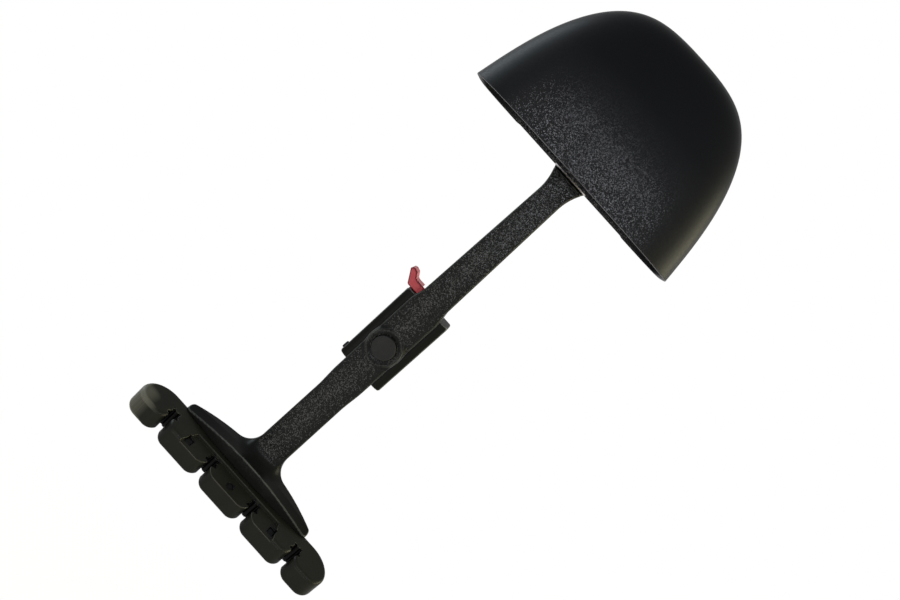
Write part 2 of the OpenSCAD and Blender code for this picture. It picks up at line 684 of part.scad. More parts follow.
// Rubber gripper that holds the arrow shafts
module arrow_gripper() color("#2d2d28") difference() {
    intersection() {
        plan_prism() difference() {
            rubber_plan();
            for (i = [0:arrow_count - 1]) translate([arrow_x(i), 0]) slit_plan();
            for (i = [0:arrow_count - 1]) translate([arrow_x(i), ahead(star_f)]) star_plan();
        }
        raked(-rubber_t, 0);
    }
    intersection() {
        plan_prism() polygon([[-recess_front_w / 2, ahead(rubber_front + over)],
            [recess_front_w / 2, ahead(rubber_front + over)], [recess_back_w / 2, ahead(recess_f)],
            [-recess_back_w / 2, ahead(recess_f)]]);
        raked(-recess_t, over);
    }
    intersection() {
        plan_prism() plate_plan(plate_gap);
        raked(-rubber_t - over, plate_t - rubber_t);
    }
    plan_prism() peg_plan(plate_gap);
    at_grip_screws() foot_bore(screw_d / 2 + hole_gap, plan_top);
}
// Plate that carries the rubber from below, with pegs that stand in its windows
module gripper_plate() color("#1b1c1d") difference() {
    union() {
        intersection() {
            plan_prism() plate_plan(0);
            raked(-rubber_t, plate_t - rubber_t);
        }
        intersection() {
            plan_prism() peg_plan(0);
            raked(-rubber_t + over, -recess_t - 0.6);
        }
    }
    at_grip_screws() {
        foot_bore(screw_d / 2 + hole_gap, plan_top);
        foot_bore(screw_head_d / 2 + hole_gap, screw_seat);
    }
}
// Screws up through the plate and the rubber into the foot
module gripper_screws() color("#8d8f92") at_grip_screws() translate([0, 0, screw_seat]) {
    cylinder(h = top_z(grip_screw_f) + foot_insert_len - screw_seat, r = screw_d / 2);
    translate([0, 0, -screw_head_t]) cylinder(h = screw_head_t, r = screw_head_d / 2);
}
// Threaded brass inserts in the foot
module gripper_inserts() color("#b58a3c") at_grip_screws()
    translate([0, 0, top_z(grip_screw_f) + insert_up]) difference() {
        cylinder(h = foot_insert_len, r = insert_d / 2);
        translate([0, 0, -over]) cylinder(h = foot_insert_len + 2 * over, r = screw_d / 2 + thread_gap);
    }

hood_shell();
hood_foam();
hood_screws();
hood_washers();
hood_inserts();
stem();
bolt_cap();
shoe_bolt();
bolt_washer();
shoe_nut();
slide_shoe();
shoe_dowels();
bow_bracket();
release_lever();
lever_pin();
lever_spring();
spring_screw();
arrow_gripper();
gripper_plate();
gripper_screws();
gripper_inserts();
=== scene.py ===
"""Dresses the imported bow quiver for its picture: hood, foam, stem, gripper, bracket, lever and hardware.

Lengths in the classes are millimetres in the part's own frame, and meshes are written in metres.
"""

from __future__ import annotations

import itertools
import logging
import math
from abc import ABC, abstractmethod
from collections.abc import Callable, Sequence
from dataclasses import dataclass, replace
from enum import Enum

import bpy
import numpy as np
from mathutils import Matrix, Vector

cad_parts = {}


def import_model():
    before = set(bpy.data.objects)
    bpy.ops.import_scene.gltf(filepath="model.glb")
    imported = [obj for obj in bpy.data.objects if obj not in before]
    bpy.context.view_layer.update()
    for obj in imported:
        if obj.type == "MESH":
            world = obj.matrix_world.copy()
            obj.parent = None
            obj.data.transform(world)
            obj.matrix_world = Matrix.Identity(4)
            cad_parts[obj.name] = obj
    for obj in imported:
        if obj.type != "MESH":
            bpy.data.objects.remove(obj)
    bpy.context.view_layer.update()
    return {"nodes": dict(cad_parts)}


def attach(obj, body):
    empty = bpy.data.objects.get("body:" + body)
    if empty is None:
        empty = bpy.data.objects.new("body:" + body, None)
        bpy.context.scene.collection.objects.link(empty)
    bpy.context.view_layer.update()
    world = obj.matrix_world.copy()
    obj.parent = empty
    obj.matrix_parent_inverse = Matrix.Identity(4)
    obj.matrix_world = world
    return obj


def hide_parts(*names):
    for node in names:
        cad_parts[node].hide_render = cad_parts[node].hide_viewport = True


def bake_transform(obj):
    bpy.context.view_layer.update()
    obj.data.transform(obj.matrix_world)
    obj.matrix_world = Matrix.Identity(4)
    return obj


LOG = logging.getLogger("quiver")
MM = 0.001
Array = np.ndarray
Field = Callable[[Array, Array, Array], Array]
Tree = bpy.types.NodeTree
Socket = bpy.types.NodeSocket
Piece = bpy.types.Object
# Y of the stem's middle plane; the front of the object is at smaller y
STEM_MID = -19.3
# Y of the middle of the lever, its spring and their slots in the bracket's rail
RAIL_MID = -7.0
# X and z of the lever's pivot
PIVOT = (-14.0, 22.0)
# X of the leaf spring's middle, and z of its screw
SPRING_X = -16.75
SPRING_SCREW_Z = -26.0
# X and z of the screws in the hood's back wall
HOOD_SCREWS = ((0, 151.5), (-13, 168), (13, 168))
# X of the screws in the foot, and their distance in front of the stem's middle plane
FOOT_SCREWS = (-6.5, 6.5)
FOOT_SCREW_F = 2.0
# Steps round a turned piece
TURN_STEPS = 72
# Point attribute for painted light: 0 on flats, 1 on sharp convex edges for a painted highlight,
# less in deep holes for painted shade, and more under a painted sheen
PAINTED_LIGHT = "painted_light"


class Body(Enum):
    """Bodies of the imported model."""

    BRACKET = "bracket"
    LEVER = "lever"
    QUIVER = "quiver"


class Slot(Enum):
    """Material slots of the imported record."""

    HOOD = "hood_plastic"
    FOAM = "foam"
    STEM = "stem_nylon"
    CAP = "cap_plastic"
    BRACKET = "bracket_plastic"
    LEVER = "lever_red"
    RUBBER = "gripper_rubber"
    STEEL = "steel"
    BLACK_STEEL = "black_steel"


class Facing(Enum):
    """Way that the head of a turned piece faces: rows are its two cross directions and its axis."""

    FRONT = ((1, 0, 0), (0, 0, 1), (0, -1, 0))
    DOWN = ((0, 1, 0), (1, 0, 0), (0, 0, -1))
    LEFT = ((0, 0, 1), (0, 1, 0), (-1, 0, 0))


def linear(code: str) -> tuple[float, float, float, float]:
    """Linear red, green, blue and alpha of an sRGB colour, which is six hex digits after a hash sign."""
    raw = [int(code[i : i + 2], 16) / 255 for i in (1, 3, 5)]
    return (*[c / 12.92 if c <= 0.04045 else ((c + 0.055) / 1.055) ** 2.4 for c in raw], 1.0)


def bare_tree(owner: bpy.types.Material | bpy.types.World) -> Tree:
    """Emptied node tree of a material or a world."""
    owner.use_nodes = True
    owner.node_tree.nodes.clear()
    return owner.node_tree


def placed(name: str, data: bpy.types.ID) -> Piece:
    """New object in the scene with this data."""
    made = bpy.data.objects.new(name, data)
    bpy.context.scene.collection.objects.link(made)
    return made


def add_node(
    tree: Tree, kind: str, inputs: dict | None = None, output: int | str = 0, **settings: object
) -> Socket | None:
    """Adds one shader node with its settings and links.

    Args:
        tree: Node tree to add to.
        kind: Blender's name of the node type, without its first word ShaderNode.
        inputs: Sockets by name or number; a socket is linked and any other value is set.
        output: Name or number of the output that is wanted.
        settings: Attributes to set on the node.

    Returns:
        The wanted output, where the node has outputs.
    """
    node = tree.nodes.new("ShaderNode" + kind)
    for key, value in settings.items():
        setattr(node, key, value)
    for key, value in (inputs or {}).items():
        if isinstance(value, Socket):
            tree.links.new(value, node.inputs[key])
        else:
            node.inputs[key].default_value = value
    return node.outputs[output] if node.outputs else None


def per_mm(size: float) -> float:
    """Texture scale whose features are about this many millimetres wide."""
    return 1 / (size * MM)


@dataclass(frozen=True)
class Finish:
    """A surface with a grain, slow changes of tone, and colours for painted light.

    The grain is a bump of fine noise. A second, coarser noise mixes the two tones. A mould grain adds facets,
    each tilted at random, which glint where they face a lamp. Real facets are too fine for the picture, so
    these are as coarse as they have to be to show. Their zone is a half width and a lowest and highest z. In
    it, shine is the roughness and glint the specular level, and bare is the z and the radius of a smooth
    disc. The edge colour is painted light on sharp edges: a painted highlight on most finishes and painted
    shade on the lever. The hole-shade colour is painted shade in deep holes, where the painted-light share
    is negative. Lengths are in millimetres.
    """

    name: str
    colour: str
    second: str
    roughness: float
    grain: float
    relief: float
    cloud: float
    specular: float = 0.5
    metallic: float = 0.0
    spread: float = 0.08
    edge: str | None = None
    painted_span: tuple[float, float] = (0.3, 0.9)
    zone: tuple[float, float, float] | None = None
    bare: tuple[float, float] | None = None
    hole_shade: str | None = None
    stretch: tuple[float, float, float] = (1, 1, 1)
    pits: float = 0.0
    facet: float = 0.0
    tilt: float = 0.5
    shine: float = 0.25
    glint: float = 0.1

    def material(self) -> bpy.types.Material:
        """Builds the procedural material.

        Returns:
            The material, made once and reused.
        """
        known = bpy.data.materials.get(self.name)
        if known:
            return known
        made = bpy.data.materials.new(self.name)
        tree = bare_tree(made)
        place = add_node(tree, "TexCoord", output="Object")
        along = add_node(tree, "Mapping", {"Vector": place, "Scale": self.stretch})
        fine = add_node(
            tree, "TexNoise", {"Vector": along, "Scale": per_mm(self.grain), "Detail": 3.0, "Roughness": 0.6}
        )
        slow = add_node(tree, "TexNoise", {"Vector": place, "Scale": per_mm(self.cloud), "Detail": 4.0})
        tones = {6: linear(self.colour), 7: linear(self.second)}
        tone = add_node(tree, "Mix", {0: slow, **tones}, 2, data_type="RGBA")
        # The edge colour paints light on sharp edges, and the hole-shade colour paints shade in deep holes
        if self.edge:
            painted_light = add_node(tree, "Attribute", output="Fac", attribute_name=PAINTED_LIGHT)
            tone = self.blend(tree, tone, self.edge, painted_light, self.painted_span)
            if self.hole_shade:
                tone = self.blend(tree, tone, self.hole_shade, painted_light, (0.0, -1.0))
        least, most = self.roughness - self.spread, self.roughness + self.spread
        rough = add_node(tree, "MapRange", {0: fine, 1: 0.3, 2: 0.7, 3: least, 4: most})
        gloss, share = self.specular, None
        if self.zone:
            share = self.inside_zone(tree, place)
            rough = add_node(tree, "Mix", {0: share, 2: rough, 3: self.shine})
            gloss = add_node(tree, "Mix", {0: share, 2: gloss, 3: self.glint})
        inputs = {
            "Base Color": tone,
            "Metallic": self.metallic,
            "Roughness": rough,
            "Specular IOR Level": gloss,
            "Normal": self.bump(tree, place, fine, share),
        }
        shader = add_node(tree, "BsdfPrincipled", inputs)
        # Also kept on the socket itself, for an export that can't follow the link
        shader.node.inputs["Specular IOR Level"].default_value = self.specular
        add_node(tree, "OutputMaterial", {"Surface": shader})
        return made

    def blend(self, tree: Tree, tone: Socket, other: str, share: Socket, span: tuple[float, float]) -> Socket:
        """Mixes a second colour into a tone where a value runs over a span, as for painted light on edges."""
        part = add_node(tree, "MapRange", {0: share, 1: span[0], 2: span[1]})
        return add_node(tree, "Mix", {0: part, 6: tone, 7: linear(other)}, 2, data_type="RGBA")

    def bump(self, tree: Tree, place: Socket, fine: Socket, share: Socket | None) -> Socket:
        """Turns the grain into a normal, with round pits or tilted facets where the finish has them.

        Args:
            tree: Node tree to add to.
            place: Object coordinates.
            fine: Fine noise.
            share: Share of the mould grain, where the finish has one.

        Returns:
            The socket that carries the normal.
        """
        height = fine
        inputs = {"Strength": 1.0, "Distance": self.relief * MM}
        if self.pits:
            cells = add_node(tree, "TexVoronoi", {"Vector": place, "Scale": per_mm(self.pits)})
            height = add_node(tree, "Math", {0: fine, 1: cells}, operation="ADD")
        if share:
            height = add_node(tree, "Math", {0: height, 1: share}, operation="MULTIPLY")
            cells = add_node(tree, "TexVoronoi", {"Vector": place, "Scale": per_mm(self.facet)}, "Color")
            lean = add_node(tree, "VectorMath", {0: cells, 1: (0.5, 0.5, 0.5)}, operation="SUBTRACT")
            lean = add_node(tree, "VectorMath", {0: lean, "Scale": share}, operation="SCALE")
            terms = {0: lean, 1: (self.tilt,) * 3, 2: add_node(tree, "NewGeometry", output="Normal")}
            steep = add_node(tree, "VectorMath", terms, operation="MULTIPLY_ADD")
            inputs["Normal"] = add_node(tree, "VectorMath", {0: steep}, operation="NORMALIZE")
        return add_node(tree, "Bump", {"Height": height, **inputs})

    def inside_zone(self, tree: Tree, place: Socket) -> Socket:
        """Share of the mould grain at each place: full on front faces in the zone, with a trace outside it.

        Args:
            tree: Node tree to add to.
            place: Object coordinates.

        Returns:
            The share.
        """
        half, low, high = [v * MM for v in self.zone]
        soft, trace = 7 * MM, 0.08
        axes = add_node(tree, "SeparateXYZ", {0: place}).node.outputs
        across = add_node(tree, "Math", {0: axes[0]}, operation="ABSOLUTE")
        normal = add_node(tree, "TexCoord", output="Normal")
        back = add_node(tree, "SeparateXYZ", {0: normal}, 1)
        share = 1.0
        for value, out, full in (
            (back, -0.8, -0.95),
            (across, half + soft, half - soft),
            (axes[2], low - soft, low + soft),
            (axes[2], high + 3 * soft, high - 3 * soft),
        ):
            part = add_node(tree, "MapRange", {0: value, 1: out, 2: full, 3: trace, 4: 1.0})
            share = add_node(tree, "Math", {0: share, 1: part}, operation="MULTIPLY")
        if self.bare:
            middle, radius = [v * MM for v in self.bare]
            flat = add_node(tree, "VectorMath", {0: place, 1: (1, 0, 1)}, operation="MULTIPLY")
            away = add_node(tree, "VectorMath", {0: flat, 1: (0, 0, middle)}, "Value", operation="DISTANCE")
            part = add_node(tree, "MapRange", {0: away, 1: radius, 2: radius + MM, 3: 0.5})
            share = add_node(tree, "Math", {0: share, 1: part}, operation="MULTIPLY")
        return share


# ABS with a spark-eroded mould grain on its lower front: almost black, with fine glints where a lamp faces it
# Its pale edge colour is a painted highlight on the rim
HOOD_ABS = Finish(
    name="abs_spark_grain",
    colour="#07080A",
    second="#0B0C0E",
    roughness=0.43,
    grain=0.8,
    relief=0.05,
    cloud=30,
    specular=0.04,
    spread=0.04,
    edge="#D6D4DE",
    zone=(48, 100, 167),
    facet=0.38,
    tilt=0.45,
    shine=0.13,
    glint=0.17,
)
# Glass-filled nylon: a coarser mould grain on the bar's front, smooth on the foot and round the cap
# Its edge colour is a painted highlight on sharp edges, such as the flange's ridge
STEM_NYLON = Finish(
    name="glass_filled_nylon",
    colour="#0A0B0A",
    second="#10110F",
    roughness=0.32,
    grain=0.9,
    relief=0.06,
    cloud=22,
    specular=0.03,
    spread=0.05,
    edge="#4E504C",
    zone=(60, -110, 190),
    bare=(-3.0, 11.2),
    facet=0.5,
    tilt=0.42,
    shine=0.13,
    glint=0.12,
)
# Smooth moulded cap: matt and a little lighter than the stem
CAP_PLASTIC = Finish(
    "matt_polypropylene", "#222222", "#292929", roughness=0.62, grain=0.5, relief=0.06, cloud=3, specular=0.03
)
# Acetal: waxy, smooth and black
ACETAL = Finish(
    "machined_acetal", "#0C0C0D", "#121213", roughness=0.45, grain=0.35, relief=0.01, cloud=12, specular=0.06
)
# Bracket moulding: smooth and dull black, with a painted highlight on its edges
BRACKET_PLASTIC = Finish(
    name="moulded_nylon_bracket",
    colour="#090A08",
    second="#10110D",
    roughness=0.42,
    grain=0.5,
    relief=0.02,
    cloud=14,
    specular=0.05,
    edge="#565856",
)
# Red lever: satin pigmented plastic, with painted shade on its edges
LEVER_RED = Finish(
    name="pigmented_acetal_red",
    colour="#92262D",
    second="#A43E44",
    roughness=0.35,
    grain=0.6,
    relief=0.02,
    cloud=3,
    specular=0.18,
    edge="#640C16",
    painted_span=(0.15, 0.5),
)
# Moulded rubber: matt olive black, with a painted sheen on its left end and painted shade in its deep holes
RUBBER = Finish(
    name="moulded_rubber",
    colour="#0F100D",
    second="#191914",
    roughness=0.36,
    grain=0.55,
    relief=0.05,
    cloud=13,
    specular=0.07,
    edge="#8A887A",
    painted_span=(0.8, 2.6),
    hole_shade="#030303",
)
# Open-cell foam: charcoal, pitted all over
FOAM = Finish(
    name="open_cell_foam",
    colour="#2E2F31",
    second="#47484A",
    roughness=0.95,
    grain=0.9,
    relief=0.5,
    cloud=1.6,
    specular=0.05,
    pits=1.4,
)
# Zinc-plated steel: pale grey metal with a faint grain
STEEL = Finish(
    "zinc_plated_steel", "#9FA2A5", "#B4B6B8", roughness=0.34, grain=0.4, relief=0.006, cloud=3, metallic=1.0
)
# Blackened steel of the spring's screw
BLACK_STEEL = Finish(
    "black_oxide_steel", "#161617", "#1E1F20", roughness=0.42, grain=0.4, relief=0.006, cloud=3, specular=0.15
)
# Spring steel strip with a lengthwise rolling grain
SPRING_STEEL = Finish(
    name="spring_steel",
    colour="#5C5F63",
    second="#6E7174",
    roughness=0.32,
    grain=0.5,
    relief=0.006,
    cloud=6,
    metallic=1.0,
    stretch=(1, 1, 0.08),
)
# Turned brass
BRASS = Finish(
    "turned_brass", "#B48A3E", "#C49B50", roughness=0.3, grain=0.35, relief=0.006, cloud=4, metallic=1.0
)


def ahead(y: Array) -> Array:
    """Distance in front of the stem's middle plane for a given y."""
    return STEM_MID - y


def smooth_join(a: Array, b: Array, reach: float) -> Array:
    """Union of two distance fields with a fillet: the lesser, less a parabola where they are close."""
    share = np.maximum(reach - np.abs(a - b), 0) / reach
    return np.minimum(a, b) - share * share * reach / 4


def smooth_cut(a: Array, b: Array, reach: float) -> Array:
    """Overlap of two distance fields with a soft edge."""
    return -smooth_join(-a, -b, reach)


def round_cut(a: Array, b: Array, radius: float) -> Array:
    """Overlap of two distance fields whose shared edge is a quarter circle of this radius."""
    corner = np.hypot(np.maximum(a + radius, 0), np.maximum(b + radius, 0))
    return np.minimum(np.maximum(a, b), -radius) + corner


def ease(t: Array) -> Array:
    """Smooth step from 0 to 1."""
    t = np.clip(t, 0, 1)
    return t * t * (3 - 2 * t)


def arc_radius(half: float, rise: float) -> float:
    """Radius of an arc with this half chord and this rise."""
    return (half * half + rise * rise) / (2 * rise)


def unit(vectors: Array) -> Array:
    """Rows of three numbers scaled to length 1."""
    return vectors / np.maximum(np.linalg.norm(vectors, axis=1), 1e-6)[:, None]


def shifted(points: Array, axis: int, way: float) -> Array:
    """Moves points along one axis.

    Args:
        points: Rows of three numbers.
        axis: Number of the axis.
        way: Distance to move.

    Returns:
        The moved points as three rows, one for each coordinate.
    """
    moved = points.copy()
    moved[:, axis] += np.float32(way)
    return moved.T


def evenly(path: Array, values: Array, shares: Array) -> Array:
    """Values at shares of a path's length, which is summed over the short steps between its points."""
    length = np.concatenate([[0], np.cumsum(np.linalg.norm(np.diff(path, axis=0), axis=1))])
    return np.interp(shares * length[-1], length, values)


def box_distance(u: Array, v: Array, middle: Sequence[float], half: Sequence[float]) -> Array:
    """Distance to an upright rectangle: the larger of the two overhangs."""
    return np.maximum(np.abs(u - middle[0]) - half[0], np.abs(v - middle[1]) - half[1])


def outline_distance(outline: Array, u: Array, v: Array) -> Array:
    """Signed distance to a closed outline.

    The least distance to any edge, negative where a ray crosses the outline an odd number of times.

    Args:
        outline: Corners as rows of two numbers.
        u: First coordinate of the points.
        v: Second coordinate of the points.

    Returns:
        Distances in the shape of u and v together.
    """
    across, along = np.broadcast_arrays(u, v)
    p = np.stack([across.ravel(), along.ravel()], -1)[:, None].astype(np.float32)
    a = outline[None].astype(np.float32)
    b = np.roll(a, -1, 1)
    edge = b - a
    to = p - a
    t = np.clip((to * edge).sum(-1) / (edge * edge).sum(-1), 0, 1)
    gap = np.sqrt(((to - t[..., None] * edge) ** 2).sum(-1)).min(1)
    rise = np.where(edge[..., 1] == 0, 1, edge[..., 1])
    crossed = ((a[..., 1] > p[..., 1]) != (b[..., 1] > p[..., 1])) & (
        to[..., 0] < edge[..., 0] * to[..., 1] / rise
    )
    return np.where(crossed.sum(1) % 2 == 1, -gap, gap).reshape(across.shape)


def slope_of(field: Field, points: Array, step: float = 0.03) -> tuple[Array, Array]:
    """Values and gradients of a field at points, by central differences over a small step."""
    sides = [field(*shifted(points, a, step)) - field(*shifted(points, a, -step)) for a in range(3)]
    return field(*points.T), np.stack(sides, -1) / (2 * step)


def edge_sharpness_of(field: Field, points: Array) -> Array:
    """Painted-light share from a field's curvature: half the sum of its second differences, over 0.3 mm.

    Args:
        field: Function of x, y and z.
        points: Rows of three numbers on the surface.

    Returns:
        Share of each point, from 0 to 1.
    """
    reach = 0.3
    total = -6 * field(*points.T)
    for axis, way in itertools.product(range(3), (-reach, reach)):
        total = total + field(*shifted(points, axis, way))
    return np.clip(total / reach**2 / 2, 0, 1)


def skin(
    name: str,
    field: Field,
    low: Sequence[float],
    high: Sequence[float],
    cell: float,
    rake: float = 0.0,
    depth: Field | None = None,
) -> Piece:
    """Meshes the zero surface of a distance field.

    Each grid cell with corners on both sides of the surface gets one point, which is pulled along the
    gradient onto the surface. Each grid edge that the surface crosses gets one face through the four cells
    around it.

    Args:
        name: Name of the piece.
        field: Function of x, y and z, negative inside.
        low: Lowest corner of the grid.
        high: Highest corner of the grid.
        cell: Size of a cell.
        rake: Rise in z per millimetre of y, by which the finished surface is sheared.
        depth: Share of painted shade, as in a deep hole, taken twice from the painted-light share.

    Returns:
        The new object.
    """
    pulls, least_slope = 4, 0.05
    steps = [np.arange(a, b + cell, cell, dtype=np.float32) for a, b in zip(low, high)]
    inside = field(*np.meshgrid(*steps, indexing="ij", sparse=True)) < 0
    spans = [(slice(0, -1), slice(1, None))] * 3
    corners = sum(inside[pick].astype(np.int8) for pick in itertools.product(*spans))
    mixed = (corners > 0) & (corners < 8)
    order = np.full(mixed.shape, -1, np.int32)
    order[mixed] = np.arange(np.count_nonzero(mixed))
    start = np.asarray(low, np.float32) + cell * (np.argwhere(mixed).astype(np.float32) + 0.5)
    points = start.copy()
    for _ in range(pulls):
        value, slope = slope_of(field, points)
        steep = np.maximum((slope * slope).sum(-1), least_slope)
        points = points - slope * (value / steep)[:, None]
        points = start + np.clip(points - start, -cell, cell)
    normals = unit(slope_of(field, points)[1])
    faces = []
    for a in range(3):
        b, c = (a + 1) % 3, (a + 2) % 3
        near = np.moveaxis(inside, a, 0)[:-1]
        far = np.moveaxis(inside, a, 0)[1:]
        at = np.argwhere(np.moveaxis(near != far, 0, a))
        at = at[(at[:, b] > 0) & (at[:, c] > 0)]
        ring = []
        for db, dc in ((-1, -1), (0, -1), (0, 0), (-1, 0)):
            other = at.copy()
            other[:, b] += db
            other[:, c] += dc
            ring.append(order[tuple(other.T)])
        quads = np.stack(ring, -1)
        outward = inside[tuple(at.T)]
        faces.append(np.where(outward[:, None], quads, quads[:, ::-1]))
    # Painted light: a highlight share on sharp edges, less the painted shade that depth gives
    painted_light = edge_sharpness_of(field, points)
    if depth:
        painted_light = painted_light - 2 * depth(*points.T)
    points[:, 2] += rake * points[:, 1]
    normals[:, 1] -= rake * normals[:, 2]
    return surface(name, points, np.concatenate(faces), unit(normals), painted_light)


def surface(
    name: str, points: Array, faces: Array, normals: Array | None = None, painted_light: Array | None = None
) -> Piece:
    """Writes points and faces to a smooth mesh object at the origin.

    Args:
        name: Name of the piece.
        points: Points in millimetres.
        faces: Corner numbers, three or four a row.
        normals: Normal of each point, where it is known better than the faces give it.
        painted_light: Share of painted light at each point.

    Returns:
        The new object.
    """
    mesh = bpy.data.meshes.new(name)
    count, sides = faces.shape
    mesh.vertices.add(len(points))
    mesh.vertices.foreach_set("co", (points * MM).astype(np.float32).ravel())
    mesh.loops.add(count * sides)
    mesh.loops.foreach_set("vertex_index", faces.astype(np.int32).ravel())
    mesh.polygons.add(count)
    mesh.polygons.foreach_set("loop_start", np.arange(0, count * sides, sides, dtype=np.int32))
    mesh.update(calc_edges=True)
    mesh.validate()
    mesh.shade_smooth()
    if normals is not None:
        mesh.normals_split_custom_set_from_vertices(normals.tolist())
    if painted_light is not None:
        mesh.attributes.new(PAINTED_LIGHT, "FLOAT", "POINT").data.foreach_set("value", painted_light.astype(np.float32))
    return placed(name, mesh)


def through_rings(rings: Array) -> tuple[Array, Array]:
    """Closes a stack of rings, of which the first and the last are single points, into one surface.

    Args:
        rings: Array of rings by steps by three; the rings run so that the outside is on their right.

    Returns:
        Points and triangles; those at each end share one point.
    """
    rows, steps = rings.shape[:2]
    points = np.concatenate([rings[0, :1], rings[1:-1].reshape(-1, 3), rings[-1, :1]])
    row = np.arange(rows - 2)[:, None] * steps + 1
    here = np.arange(steps)
    after = (here + 1) % steps
    lower, upper = row[:-1], row[1:]
    quads = np.stack([lower + here, lower + after, upper + after, upper + here], -1).reshape(-1, 4)
    tris = np.concatenate([quads[:, [0, 1, 2]], quads[:, [0, 2, 3]]])
    last = len(points) - 1
    top = row[-1, 0]
    first_cap = np.stack([np.zeros(steps, int), 1 + after, 1 + here], -1)
    last_cap = np.stack([np.full(steps, last), top + here, top + after], -1)
    return points, np.concatenate([tris, first_cap, last_cap])


def turned(name: str, rows: Array, facing: Facing, middles: Sequence[Sequence[float]]) -> Piece:
    """Builds one or more equal turned pieces from rings of radius and height.

    Each row is a ring round the axis: its radius may change with the angle, as in a hex socket or a thread.

    Args:
        name: Name of the piece.
        rows: Array of rows by steps by two, radius and height; the first and last rows have radius 0.
        facing: Way that the axis points.
        middles: Zero points of the axes.

    Returns:
        The new object.
    """
    angle = np.linspace(0, 2 * np.pi, rows.shape[1], endpoint=False)
    local = np.stack([rows[..., 0] * np.cos(angle), rows[..., 0] * np.sin(angle), rows[..., 1]], -1)
    points, faces = through_rings(local)
    points = points @ np.array(facing.value, float)
    count = len(points)
    every = np.concatenate([points + np.array(m, float) for m in middles])
    numbers = np.concatenate([faces + k * count for k in range(len(middles))])
    return surface(name, every, numbers)


def dress(piece: Piece, finish: Finish) -> None:
    """Gives a piece one finish."""
    piece.data.materials.clear()
    piece.data.materials.append(finish.material())


def settle(piece: Piece, body: Body, slot: Slot, finish: Finish, *nodes: str) -> Piece:
    """Dresses a new piece, puts it on its body and lets it stand for its nodes.

    Args:
        piece: The new piece.
        body: Body that carries it.
        slot: Material slot of the record; not used.
        finish: Its finish.
        nodes: Nodes that it stands for.

    Returns:
        The same piece.
    """
    dress(piece, finish)
    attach(piece, body.value)
    if nodes:
        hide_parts(*nodes)
    LOG.info("%s: %d points on %s", piece.name, len(piece.data.vertices), body.value)
    return piece


